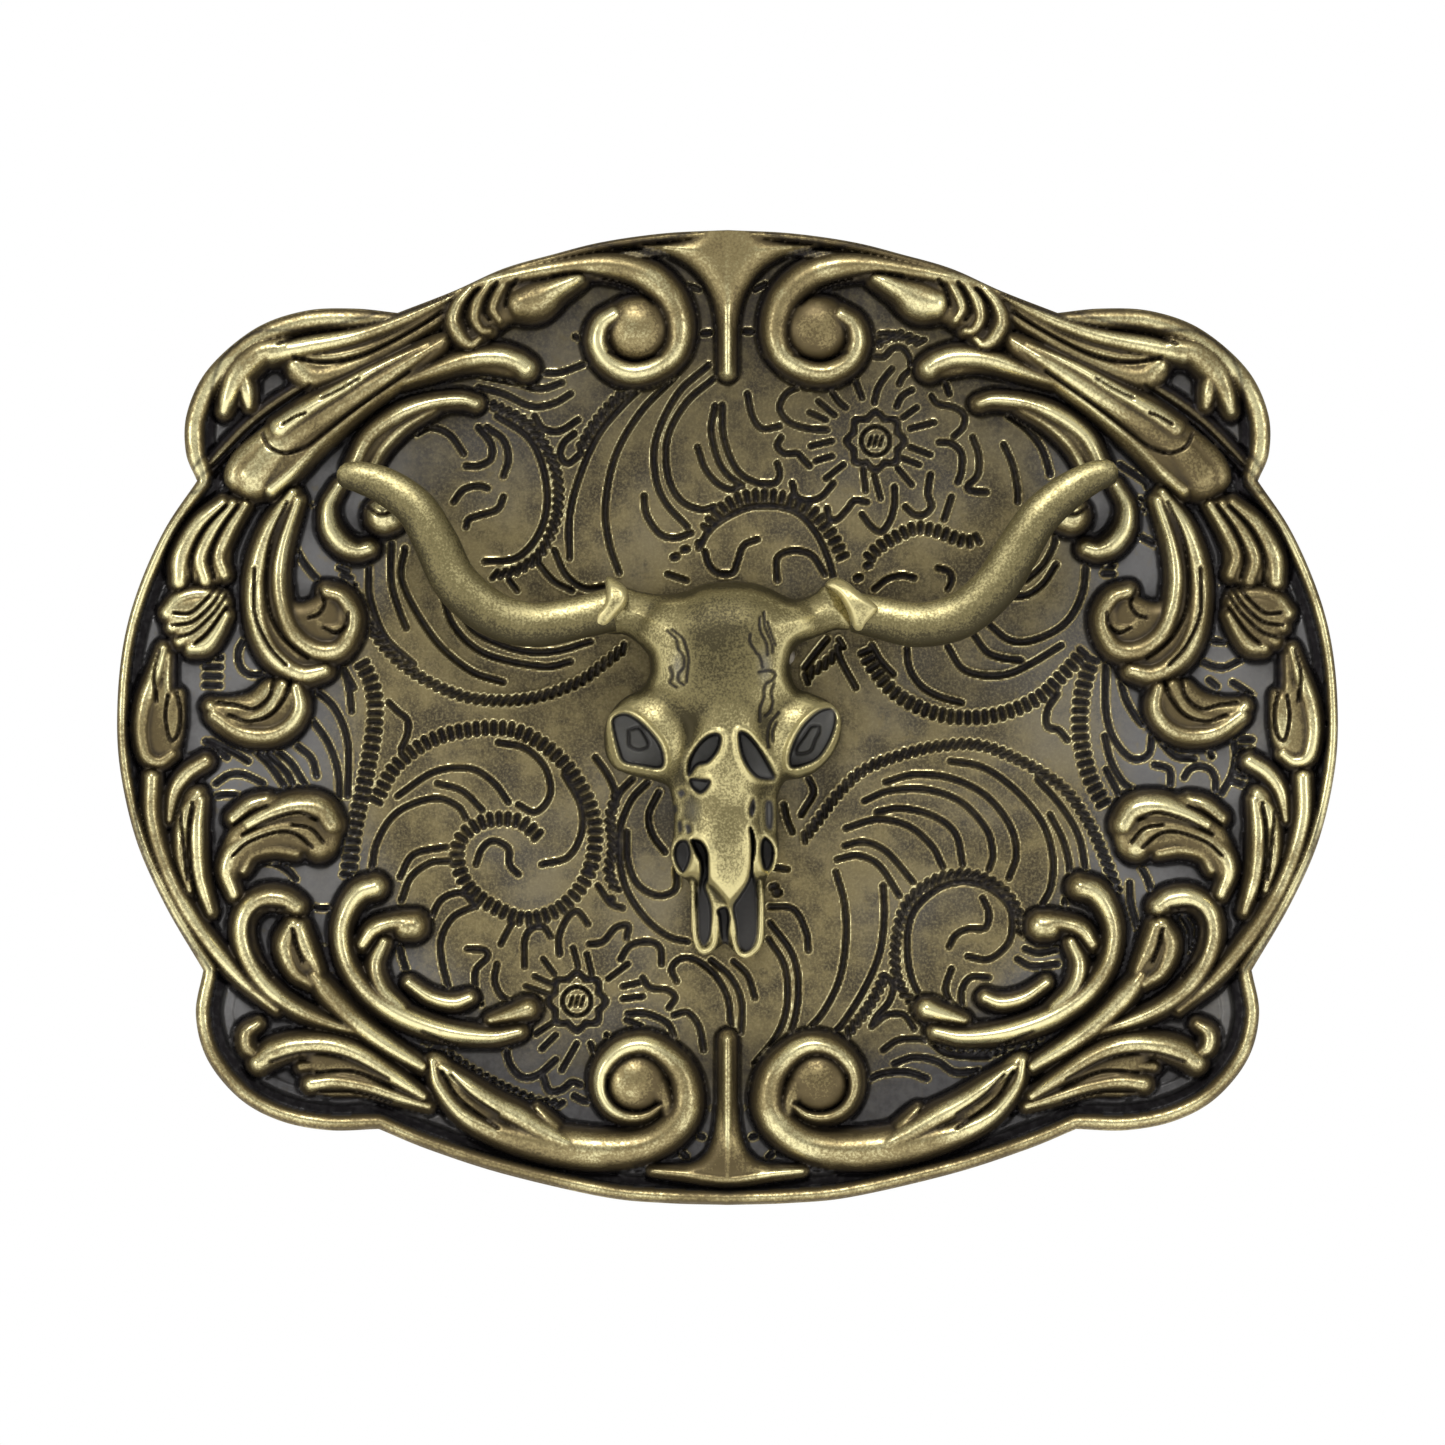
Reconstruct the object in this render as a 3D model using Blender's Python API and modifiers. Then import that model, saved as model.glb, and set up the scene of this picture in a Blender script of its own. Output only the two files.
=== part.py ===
"""Oval western belt buckle with a separate longhorn skull badge, standing upright as it is worn.

Metres, +Z up.  The buckle faces -Y and +X is its right-hand side seen from the front.  The origin
is the middle of the outline, on the plane of the flat back, so the front of the casting lies at
negative y and the belt hardware at positive y.  Dimensions are in millimetres and become metres
through MM.  A height is a distance forwards from the flat back.
"""

import math

import bmesh
import bpy
from mathutils import Matrix, Vector

MM = 0.001
GAP = 0.3

# Plate.
FIELD_HEIGHT = 2.6
RIM_HEIGHT = 3.9
RIM_WIDTH = 1.6
POCKET_DEPTH = 0.7
POCKET_INSET = 4.0
PAD_RADIUS = 3.5
EDGE_BEVEL = 0.35
OUTLINE_STEPS = 3

# Belt loop and its hinge, on the right-hand side of the back.  The pin runs upright.
PIN_X = 24.0
PIN_BEHIND = 5.6
PIN_RADIUS = 1.2
PIN_HALF_LENGTH = 27.7
PIN_HEAD_RADIUS = 2.1
PIN_HEAD_LENGTH = 0.9
RING_RADIUS = 2.3
RING_LENGTH = 0.7
LUG_MIDDLE = 21.0
LUG_WIDTH = 3.0
LUG_RADIUS = 2.9
LUG_FOOT_HALF = 5.0
BAIL_WIDTH = 3.0
BAIL_END_X = 41.1
BAIL_THICKNESS = 2.3
BAIL_EYE_RADIUS = 2.9
BAIL_CORNER = 4.0
BAIL_BEVEL = 0.4

# Hook stud, on the left-hand side of the back.
STUD_X = -30.0
STUD_BOSS_RADIUS = 4.6
STUD_BOSS_HEIGHT = 0.6
STUD_SHANK_RADIUS = 1.2
STUD_SHANK_LENGTH = 1.5
STUD_FLANGE_RADIUS = 3.9
STUD_FLANGE_HEIGHT = 1.0
STUD_POST_RADIUS = 1.8
STUD_TIP_RADIUS = 2.4
STUD_POST_LENGTH = 6.2
STUD_LEAN = math.radians(16.0)

# Screws that hold the skull badge from behind: (x, z) of each.  They stand round the middle pad.
SCREWS = {"left": (-4.5, 5.0), "right": (4.5, 5.0), "lower": (0.0, -7.0)}
SCREW_RADIUS = 0.9
SCREW_TIP_HEIGHT = 5.6
SCREW_HEAD_RADIUS = 1.8
SCREW_HEAD_HEIGHT = 1.1
SCREW_SLOT = 0.5
WASHER_RADIUS = 2.4
WASHER_THICKNESS = 0.5

# Half of the outline, from the top middle round the left side to the bottom middle.  Each list is
# one smooth stretch, and the stretches meet in the small notches between the lobes.
OUTLINE = [
    [(0, 39.15), (-10, 38.2), (-18, 36.1), (-26.5, 32.5)],
    [(-26.5, 32.5), (-32, 32.8), (-38, 31.2), (-41.8, 28), (-43.6, 23.4), (-42.6, 19)],
    [(-42.6, 19), (-46.5, 12.5), (-48.5, 6), (-49, 0), (-48.4, -6.3), (-45.9, -13.6), (-42.1, -20.3)],
    [(-42.1, -20.3), (-42.6, -24.6), (-39.8, -30.1), (-35.9, -32.4), (-28, -33.05)],
    [(-28, -33.05), (-20, -36.1), (-10, -38.5), (0, -39.15)],
]

# Main raised scrolls of the left half, mirrored to the right: (x, z, half width) along each ridge.
SCROLLS = {
    "tab_leaf": [(-20, 34.6, 0.5), (-26, 31.2, 1.0), (-33, 28.6, 1.5), (-38.2, 27.6, 1.2), (-39.9, 25, 0.6)],
    "club_leaf": [(-22.8, 30.2, 0.4), (-29.5, 26, 1.1), (-35.2, 22.4, 1.3), (-38, 19.4, 1.7)],
    "finger": [(-26, 26.8, 0.5), (-21, 28.7, 0.8), (-16.4, 28.2, 0.8)],
    "arc_leaf": [(-30, 20.3, 0.7), (-26.5, 24.3, 0.6), (-20.4, 25.2, 0.4)],
    "feather": [(-39.6, 17.2, 0.6), (-42.2, 14, 1.0), (-42.6, 11.2, 1.0)],
    "shell": [(-44.6, 9.2, 0.9), (-42.2, 6.8, 1.4), (-40.9, 9.6, 0.8)],
    "side_stem": [(-35, 18, 0.6), (-37.3, 11.5, 0.9), (-36.3, 5.6, 0.9), (-32.3, 4.3, 0.9), (-30.6, 8, 0.8)],
    "ribbon": [(-45.5, 5.2, 0.5), (-46.4, 1.5, 0.7), (-46, -3.3, 0.6)],
    "hook_leaf": [(-35, 2.6, 0.7), (-37, -0.4, 1.4), (-41.3, 0.4, 0.7)],
    "outer_stem": [(-46.3, -4.7, 0.6), (-45.4, -11.5, 0.6), (-41.5, -18.3, 0.6), (-36.4, -23.2, 0.4)],
    "small_feather": [(-42.8, -6.2, 0.7), (-43.1, -10, 1.0), (-41.6, -15.5, 0.5)],
    "big_leaf": [(-39.2, -13.8, 0.7), (-38.6, -9.4, 1.3), (-33.4, -7.6, 1.4), (-32.6, -10.3, 0.9)],
    "side_scroll": [(-34.9, -15, 0.8), (-38.4, -14.6, 0.8), (-38.9, -19.5, 0.8), (-30, -25.2, 0.3)],
    "bud": [(-34.6, -16.8, 0.6), (-34.6, -18.8, 1.1), (-32.8, -21.2, 0.6), (-25, -27.6, 0.4)],
    "inner_scroll": [(-28.2, -13.3, 0.8), (-31, -17.5, 0.8), (-26.4, -23.8, 0.8), (-17.2, -25, 0.4)],
    "corner_leaf": [(-38.2, -25.8, 0.6), (-36.6, -27.2, 1.2), (-31, -27.4, 1.3), (-24.5, -30.5, 0.4)],
    "bottom_scroll": [(-23.5, -27.5, 0.4), (-20, -31.3, 1.2), (-10.5, -35, 1.4), (-4.2, -32.6, 0.9), (-4.6, -29, 0.6)],
    "bottom_volute": [(-6.2, -29.4, 1.6), (-8.2, -29.4, 1.6)],
    "top_scroll": [(-20, 34.5, 0.5), (-10.5, 36.5, 0.9), (-4.2, 32.4, 0.9), (-6.4, 27.9, 0.8), (-9.9, 30, 0.7)],
    "top_volute": [(-6.4, 31.2, 1.5), (-8, 31.2, 1.5)],
    "top_bulb": [(-16, 33.4, 1.3), (-11, 34.9, 0.6)],
}
SPIKES = {
    "top_spike": [(0, 37.4, 1.7), (0, 34.6, 1.3), (0, 31.5, 0.6), (0, 27.6, 0.4)],
    "bottom_spike": [(0, -37.2, 1.7), (0, -34, 1.1), (0, -30, 0.6), (0, -25.6, 0.4)],
}
SCROLL_RISE = 0.6

# Skull badge.  Ridges are (x, z, height, radius) along a centre line.
BADGE_BACK = FIELD_HEIGHT + GAP
TRIM = 0.7
SIDES = {"left": -1, "right": 1}
SKULL_OUTLINE = [
    (-8.2, 10.2), (-5.2, 9.6), (0, 10.9), (5.2, 9.9), (8.2, 10.4), (9.2, 7), (6.2, 4.6), (8, 1.2),
    (7.6, -3.6), (4.6, -5.2), (3.9, -9.2), (2.4, -14.2), (-2.4, -14.2), (-4.1, -9.2), (-4.9, -5.2),
    (-8, -3.6), (-8.2, 1), (-6.4, 4.2), (-8.8, 6.9),
]
SKULL_FLAT = 6.3
SKULL_BEVEL = 1.0
BROW_CENTRE = (0.2, 5.4, 5.4)
BROW_RADII = (7.4, 4.9, 4.6)
SNOUT = [(0.2, 4, 6.3, 3.7), (0.1, -4, 6.2, 3.4), (0, -10, 5.8, 2.6), (0, -13.2, 5.4, 1.6)]
ORBIT_X = 6.6
ORBIT_Z = -1.4
ORBIT_RADIUS = 3.0
ORBIT_HEIGHT = 7.4
SOCKET_RADIUS = 1.9
SOCKET_FLOOR = 5.6
NOSTRIL_CENTRE = (1.9, -3.1, 9.6)
NOSTRIL_RADII = (0.8, 2.0, 2.4)
NOSTRIL_LEAN = math.radians(35)
COLLAR = [(8.4, 9.0, 6.9, 2.2), (10.2, 8.2, 7.0, 2.2)]
HORN = [
    (6.5, 8.8, 6.4, 1.5), (9.6, 8.3, 6.9, 1.5), (12.4, 7.6, 7.1, 1.6), (16, 7.3, 7.2, 1.8),
    (19.5, 8.5, 7.3, 1.85), (22, 11.4, 7.4, 1.85), (23.9, 15, 7.3, 1.7), (26.8, 17.9, 7.0, 1.4),
    (30.2, 19.2, 6.7, 0.9),
]
JAW = [
    (2.5, -9.6, 5.0, 0.9), (2.6, -13, 4.6, 0.7), (2.5, -17.2, 4.4, 0.7), (1.4, -18.4, 4.3, 0.6),
    (0.5, -17.2, 4.3, 0.5), (0.5, -12.8, 4.6, 0.7),
]

BRASS = (0.20, 0.155, 0.075)
BRASS_WORN = (0.34, 0.28, 0.15)
STEEL = (0.33, 0.31, 0.28)


def clear_scene():
    for old in list(bpy.data.objects):
        bpy.data.objects.remove(old, do_unlink=True)


def make_collection(name):
    collection = bpy.data.collections.new(name)
    bpy.context.scene.collection.children.link(collection)
    return collection


def make_material(name, colour, roughness, metallic):
    material = bpy.data.materials.new(name)
    material.use_nodes = True
    shader = material.node_tree.nodes["Principled BSDF"]
    shader.inputs["Base Color"].default_value = (*colour, 1.0)
    shader.inputs["Roughness"].default_value = roughness
    shader.inputs["Metallic"].default_value = metallic
    return material


def place(x, z, height):
    return Vector((x * MM, -height * MM, z * MM))


def new_object(name, data, collection):
    obj = bpy.data.objects.new(name, data)
    collection.objects.link(obj)
    if collection.name == "cutters":
        obj.hide_render = True
        obj.display_type = "WIRE"
    return obj


def finish_node(obj, colour, roughness, metallic, sharp_angle=40):
    """Give a finished part its own material and smooth shading."""
    obj.data.materials.clear()
    obj.data.materials.append(make_material(obj.name, colour, roughness, metallic))
    obj.data.shade_smooth()
    obj.data.set_sharp_from_angle(angle=math.radians(sharp_angle))
    return obj


def to_mesh(obj, collection):
    """Turn a curve, or an object with modifiers, into a plain closed mesh in world space."""
    bpy.context.view_layer.update()
    name = obj.name
    evaluated = obj.evaluated_get(bpy.context.evaluated_depsgraph_get())
    mesh = bpy.data.meshes.new_from_object(evaluated)
    mesh.transform(obj.matrix_world)
    bpy.data.objects.remove(obj)
    shape = bmesh.new()
    shape.from_mesh(mesh)
    bmesh.ops.remove_doubles(shape, verts=shape.verts, dist=0.002 * MM)
    bmesh.ops.recalc_face_normals(shape, faces=shape.faces)
    shape.to_mesh(mesh)
    shape.free()
    return new_object(name, mesh, collection)


def set_origin(obj, point):
    obj.data.transform(Matrix.Translation(-point))
    obj.location = point


def smooth_path(points, steps):
    """Points along a Catmull-Rom curve through POINTS, with STEPS points to each span."""
    ends = [points[0], *points, points[-1]]
    path = []
    for i in range(1, len(ends) - 2):
        a, b, c, d = (Vector(p) for p in ends[i - 1:i + 3])
        for k in range(steps):
            t = k / steps
            path.append(0.5 * ((2 * b) + (c - a) * t + (2 * a - 5 * b + 4 * c - d) * t ** 2
                               + (3 * b - a - 3 * c + d) * t ** 3))
    path.append(Vector(points[-1]))
    return path


def plate_outline(inset):
    """The buckle's outline as a closed list of points, moved inwards by INSET."""
    left = [Vector(OUTLINE[0][0])]
    for stretch in OUTLINE:
        left += smooth_path(stretch, OUTLINE_STEPS)[1:]
    right = [Vector((-p.x, p.y)) for p in reversed(left[1:-1])]
    ring = left + right
    count = len(ring)
    moved = []
    for i, point in enumerate(ring):
        along = (ring[(i + 1) % count] - ring[i - 1]).normalized()
        moved.append(point + Vector((-along.y, along.x)) * inset)
    return moved


def flat_solid(name, points, low, high, collection):
    """A solid with the outline POINTS (x, z), between the heights LOW and HIGH."""
    curve = bpy.data.curves.new(name, "CURVE")
    curve.dimensions = "2D"
    curve.fill_mode = "BOTH"
    curve.extrude = (high - low) / 2 * MM
    spline = curve.splines.new("POLY")
    spline.points.add(len(points) - 1)
    for target, point in zip(spline.points, points):
        target.co = (point[0] * MM, point[1] * MM, 0, 1)
    spline.use_cyclic_u = True
    obj = new_object(name, curve, collection)
    obj.location = place(0, 0, (low + high) / 2)
    obj.rotation_euler = (math.pi / 2, 0, 0)
    return to_mesh(obj, collection)


def tube(name, points, collection, sides=6, resolution=2):
    """A round tapered ridge through POINTS, each (x, z, height, radius)."""
    curve = bpy.data.curves.new(name, "CURVE")
    curve.dimensions = "3D"
    curve.bevel_depth = MM
    curve.bevel_resolution = sides // 2 - 2
    curve.use_fill_caps = True
    curve.resolution_u = resolution
    spline = curve.splines.new("BEZIER")
    spline.bezier_points.add(len(points) - 1)
    for target, (x, z, height, radius) in zip(spline.bezier_points, points):
        target.co = place(x, z, height)
        target.radius = radius
        target.handle_left_type = "AUTO"
        target.handle_right_type = "AUTO"
    return to_mesh(new_object(name, curve, collection), collection)


def turned(name, profile, collection, segments=24):
    """A solid of revolution about +Z; PROFILE is (radius, z), top to bottom on the outside."""
    mesh = bpy.data.meshes.new(name)
    points = [(radius * MM, 0, z * MM) for radius, z in profile]
    mesh.from_pydata(points, [(i, i + 1) for i in range(len(points) - 1)], [])
    obj = new_object(name, mesh, collection)
    screw = obj.modifiers.new("turn", "SCREW")
    screw.axis = "Z"
    screw.steps = segments
    screw.render_steps = segments
    screw.use_merge_vertices = True
    screw.merge_threshold = 0.00001
    return obj


def cylinder(name, radius, length, centre, turn, collection, segments=20):
    """A cylinder along world Z, turned by the matrix TURN, with its middle at CENTRE."""
    mesh = bpy.data.meshes.new(name)
    shape = bmesh.new()
    bmesh.ops.create_cone(shape, cap_ends=True, segments=segments, radius1=radius * MM,
                          radius2=radius * MM, depth=length * MM,
                          matrix=Matrix.Translation(centre) @ turn)
    shape.to_mesh(mesh)
    shape.free()
    return new_object(name, mesh, collection)


def ball(name, centre, radii, lean, collection):
    """An ellipsoid with RADII across, upwards and forwards, leaning by LEAN in the plate's plane."""
    mesh = bpy.data.meshes.new(name)
    shape = bmesh.new()
    across, up, forwards = (radius * MM for radius in radii)
    matrix = (Matrix.Translation(place(*centre)) @ Matrix.Rotation(lean, 4, "Y")
              @ Matrix.Diagonal((across, forwards, up, 1)))
    bmesh.ops.create_uvsphere(shape, u_segments=16, v_segments=10, radius=1, matrix=matrix)
    shape.to_mesh(mesh)
    shape.free()
    return new_object(name, mesh, collection)


def box(name, low, high, collection):
    mesh = bpy.data.meshes.new(name)
    shape = bmesh.new()
    size = [(b - a) * MM for a, b in zip(low, high)]
    middle = Vector([(a + b) / 2 * MM for a, b in zip(low, high)])
    bmesh.ops.create_cube(shape, size=1, matrix=Matrix.Translation(middle) @ Matrix.Diagonal((*size, 1)))
    shape.to_mesh(mesh)
    shape.free()
    return new_object(name, mesh, collection)


def add_boolean(obj, operation, tool):
    modifier = obj.modifiers.new(tool.name, "BOOLEAN")
    modifier.operation = operation
    modifier.solver = "EXACT"
    modifier.object = tool
    return modifier


def join(obj, tool):
    return add_boolean(obj, "UNION", tool)


def cut(obj, tool):
    return add_boolean(obj, "DIFFERENCE", tool)


def join_all(obj, name, shapes):
    """Union OBJ with many overlapping shapes in one step."""
    group = bpy.data.collections.new(name)
    tools.children.link(group)
    for shape in shapes:
        tools.objects.unlink(shape)
        group.objects.link(shape)
    modifier = obj.modifiers.new(name, "BOOLEAN")
    modifier.operation = "UNION"
    modifier.solver = "EXACT"
    modifier.operand_type = "COLLECTION"
    modifier.collection = group


def add_bevel(obj, width, segments=1, angle=50):
    bevel = obj.modifiers.new("bevel", "BEVEL")
    bevel.width = width * MM
    bevel.segments = segments
    bevel.limit_method = "ANGLE"
    bevel.angle_limit = math.radians(angle)


def forwards():
    """Turns an object made along +Z to point forwards, towards -Y."""
    return Matrix.Rotation(math.pi / 2, 4, "X")


def backwards():
    """Turns an object made along +Z to point to the back, towards +Y."""
    return Matrix.Rotation(-math.pi / 2, 4, "X")


def mirrored(points):
    return [(-point[0], *point[1:]) for point in points]


def scroll_ridge(name, points):
    """One raised scroll: its crest grows with its width, and its foot lies inside the plate."""
    spine = [(x, z, FIELD_HEIGHT + SCROLL_RISE * width, width) for x, z, width in points]
    return tube(name, spine, tools)


def lug_profile():
    """Side view of a hinge lug, (x, distance behind the back), round about the pin."""
    points = [(PIN_X - LUG_FOOT_HALF, -POCKET_DEPTH - GAP), (PIN_X + LUG_FOOT_HALF, -POCKET_DEPTH - GAP)]
    for step in range(9):
        angle = math.radians(-10 + 200 * step / 8)
        points.append((PIN_X + LUG_RADIUS * math.cos(angle), PIN_BEHIND + LUG_RADIUS * math.sin(angle)))
    return points


def make_lug(name, middle):
    curve = bpy.data.curves.new(name, "CURVE")
    curve.dimensions = "2D"
    curve.fill_mode = "BOTH"
    curve.extrude = LUG_WIDTH / 2 * MM
    spline = curve.splines.new("POLY")
    points = lug_profile()
    spline.points.add(len(points) - 1)
    for target, (x, behind) in zip(spline.points, points):
        target.co = (x * MM, behind * MM, 0, 1)
    spline.use_cyclic_u = True
    obj = new_object(name, curve, tools)
    obj.location.z = middle * MM
    return to_mesh(obj, tools)


def make_face_plate():
    plate = flat_solid("face_plate", plate_outline(0), 0, RIM_HEIGHT, buckle)
    add_bevel(plate, EDGE_BEVEL)
    cut(plate, flat_solid("recess", plate_outline(RIM_WIDTH), FIELD_HEIGHT, 2 * RIM_HEIGHT, tools))
    cut(plate, flat_solid("back_pocket", plate_outline(POCKET_INSET), -RIM_HEIGHT, POCKET_DEPTH, tools))
    join(plate, cylinder("middle_pad", PAD_RADIUS, 2, place(0, 0, 1), forwards(), tools, segments=24))
    boss_length = STUD_BOSS_HEIGHT + POCKET_DEPTH + GAP
    boss_middle = place(STUD_X, 0, POCKET_DEPTH + GAP - boss_length / 2)
    join(plate, cylinder("stud_boss", STUD_BOSS_RADIUS, boss_length, boss_middle, forwards(), tools))
    for side, middle in {"upper": LUG_MIDDLE, "lower": -LUG_MIDDLE}.items():
        join(plate, make_lug(f"{side}_lug", middle))
    ridges = [scroll_ridge(name, points) for name, points in SPIKES.items()]
    for name, points in SCROLLS.items():
        ridges.append(scroll_ridge(f"{name}_left", points))
        ridges.append(scroll_ridge(f"{name}_right", mirrored(points)))
    join_all(plate, "scroll_ridges", ridges)
    hole_radius = PIN_RADIUS + GAP
    pin_middle = Vector((PIN_X * MM, PIN_BEHIND * MM, 0))
    cut(plate, cylinder("lug_bore", hole_radius, 2 * PIN_HALF_LENGTH, pin_middle, Matrix(), tools))
    shank_middle = place(STUD_X, 0, -STUD_BOSS_HEIGHT)
    shank_depth = 2 * (STUD_SHANK_LENGTH + GAP)
    cut(plate, cylinder("stud_bore", STUD_SHANK_RADIUS + GAP, shank_depth, shank_middle, forwards(), tools))
    for side, (x, z) in SCREWS.items():
        cut(plate, cylinder(f"screw_bore_{side}", SCREW_RADIUS + GAP, 2 * RIM_HEIGHT, place(x, z, 0),
                            forwards(), tools))
    return finish_node(plate, BRASS, 0.42, 0.9)


def make_orbit(side):
    """The raised drum round an eye socket; the socket is cut later."""
    profile = [(0, ORBIT_HEIGHT - 0.2), (ORBIT_RADIUS - 0.5, ORBIT_HEIGHT), (ORBIT_RADIUS, ORBIT_HEIGHT - 0.6),
               (ORBIT_RADIUS, BADGE_BACK - TRIM), (0, BADGE_BACK - TRIM)]
    drum = turned(f"orbit_{side}", profile, tools, segments=20)
    drum.matrix_world = Matrix.Translation(place(SIDES[side] * ORBIT_X, ORBIT_Z, 0)) @ forwards()
    return to_mesh(drum, tools)


def make_skull_badge():
    outline = smooth_path([*SKULL_OUTLINE, SKULL_OUTLINE[0]], 2)[:-1]
    badge = flat_solid("skull_badge", outline, BADGE_BACK - TRIM, SKULL_FLAT, buckle)
    lumps = [ball("brow", BROW_CENTRE, BROW_RADII, 0, tools), tube("snout", SNOUT, tools, sides=12)]
    for side, turn in {"left": mirrored, "right": list}.items():
        lumps.append(make_orbit(side))
        lumps.append(tube(f"horn_{side}", turn(HORN), tools, sides=10))
        lumps.append(tube(f"collar_{side}", turn(COLLAR), tools, sides=10))
        lumps.append(tube(f"jaw_{side}", turn(JAW), tools, sides=6))
    join_all(badge, "skull_lumps", lumps)
    for side, sign in SIDES.items():
        socket_height = (SOCKET_FLOOR + 12) / 2
        cut(badge, cylinder(f"socket_{side}", SOCKET_RADIUS, 12 - SOCKET_FLOOR,
                            place(sign * ORBIT_X, ORBIT_Z, socket_height), forwards(), tools, segments=18))
        x, z, height = NOSTRIL_CENTRE
        cut(badge, ball(f"nostril_{side}", (sign * x, z, height), NOSTRIL_RADII, sign * NOSTRIL_LEAN, tools))
    cut(badge, box("under_badge", (-60, -BADGE_BACK, -60), (60, 12, 60), tools))
    for side, (x, z) in SCREWS.items():
        depth = 2 * (SCREW_TIP_HEIGHT + GAP)
        cut(badge, cylinder(f"badge_bore_{side}", SCREW_RADIUS + GAP, depth, place(x, z, 0), forwards(), tools))
    return finish_node(badge, BRASS_WORN, 0.36, 0.9)


def make_screw(side, x, z):
    """Slotted pan-head screw and its washer, put in from behind and seated on the pocket's floor."""
    seat = GAP - POCKET_DEPTH
    under_head = seat + WASHER_THICKNESS + GAP
    top = under_head + SCREW_HEAD_HEIGHT
    profile = [(0, top), (SCREW_HEAD_RADIUS - 0.5, top), (SCREW_HEAD_RADIUS, top - 0.5),
               (SCREW_HEAD_RADIUS, under_head), (SCREW_RADIUS, under_head),
               (SCREW_RADIUS, -SCREW_TIP_HEIGHT + 0.4), (0.5, -SCREW_TIP_HEIGHT), (0, -SCREW_TIP_HEIGHT)]
    screw = turned(f"badge_screw_{side}", profile, buckle, segments=16)
    screw.matrix_world = Matrix.Translation(place(x, z, 0)) @ backwards()
    screw = to_mesh(screw, buckle)
    slot_low = (x - 3, top - SCREW_SLOT, z - SCREW_SLOT / 2)
    slot_high = (x + 3, top + 1, z + SCREW_SLOT / 2)
    cut(screw, box(f"screw_slot_{side}", slot_low, slot_high, tools))
    finish_node(screw, STEEL, 0.35, 1.0)
    set_origin(screw, place(x, z, 0))
    top = seat + WASHER_THICKNESS
    ring = [(SCREW_RADIUS + GAP, top), (WASHER_RADIUS, top), (WASHER_RADIUS, seat),
            (SCREW_RADIUS + GAP, seat), (SCREW_RADIUS + GAP, top)]
    washer = turned(f"badge_washer_{side}", ring, buckle)
    washer.matrix_world = Matrix.Translation(place(x, z, 0)) @ backwards()
    washer = to_mesh(washer, buckle)
    finish_node(washer, STEEL, 0.4, 1.0)
    set_origin(washer, place(x, z, 0))


def bail_outline():
    """Half-loop outline: two arms from the pin and a bar across their ends, corners rounded."""
    eye_outer = LUG_MIDDLE + LUG_WIDTH / 2 + GAP + BAIL_WIDTH
    outer, inner = [], []
    for step in range(5):
        angle = math.pi / 2 * step / 4
        x = BAIL_END_X - BAIL_CORNER + BAIL_CORNER * math.sin(angle)
        z = eye_outer - BAIL_CORNER + BAIL_CORNER * math.cos(angle)
        outer.append((x, z))
        reach = BAIL_CORNER - BAIL_WIDTH
        inner.append((x - BAIL_WIDTH * math.sin(angle), z - BAIL_WIDTH * math.cos(angle)))
    outer = [(PIN_X, eye_outer), *outer]
    inner = [(PIN_X, eye_outer - BAIL_WIDTH), *inner]
    upper = outer + [(x, -z) for x, z in reversed(outer)]
    return upper + [(x, -z) for x, z in inner] + list(reversed(inner))


def make_bail():
    """The swinging belt loop.  Its origin lies on the hinge pin's axis."""
    half = BAIL_THICKNESS / 2
    bail = flat_solid("bail", bail_outline(), -PIN_BEHIND - half, -PIN_BEHIND + half, buckle)
    add_bevel(bail, BAIL_BEVEL)
    pin_line = Vector((PIN_X * MM, PIN_BEHIND * MM, 0))
    eye_middle = LUG_MIDDLE + LUG_WIDTH / 2 + GAP + BAIL_WIDTH / 2
    for side, z in {"upper": eye_middle, "lower": -eye_middle}.items():
        middle = pin_line + Vector((0, 0, z * MM))
        join(bail, cylinder(f"eye_{side}", BAIL_EYE_RADIUS, BAIL_WIDTH, middle, Matrix(), tools, segments=24))
    cut(bail, cylinder("eye_bore", PIN_RADIUS + GAP, 2 * PIN_HALF_LENGTH, pin_line, Matrix(), tools))
    bail = to_mesh(bail, buckle)
    finish_node(bail, BRASS, 0.4, 0.9)
    set_origin(bail, pin_line)


def make_bail_pin():
    """Headed hinge pin, put in from below, and the push-on ring that keeps it in."""
    eye_outer = LUG_MIDDLE + LUG_WIDTH / 2 + GAP + BAIL_WIDTH
    head_top = -eye_outer - GAP
    profile = [(0, PIN_HALF_LENGTH), (PIN_RADIUS - 0.3, PIN_HALF_LENGTH), (PIN_RADIUS, PIN_HALF_LENGTH - 0.3),
               (PIN_RADIUS, head_top), (PIN_HEAD_RADIUS, head_top),
               (PIN_HEAD_RADIUS, head_top - PIN_HEAD_LENGTH + 0.3),
               (PIN_HEAD_RADIUS - 0.5, head_top - PIN_HEAD_LENGTH), (0, head_top - PIN_HEAD_LENGTH)]
    pin_line = Vector((PIN_X * MM, PIN_BEHIND * MM, 0))
    pin = to_mesh(turned("bail_pin", profile, buckle, segments=20), buckle)
    finish_node(pin, STEEL, 0.32, 1.0)
    pin.location = pin_line
    low = eye_outer + GAP
    ring = [(PIN_RADIUS + GAP, low + RING_LENGTH), (RING_RADIUS, low + RING_LENGTH), (RING_RADIUS, low),
            (PIN_RADIUS + GAP, low), (PIN_RADIUS + GAP, low + RING_LENGTH)]
    keeper = to_mesh(turned("bail_pin_ring", ring, buckle), buckle)
    finish_node(keeper, STEEL, 0.38, 1.0)
    keeper.location = pin_line


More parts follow.
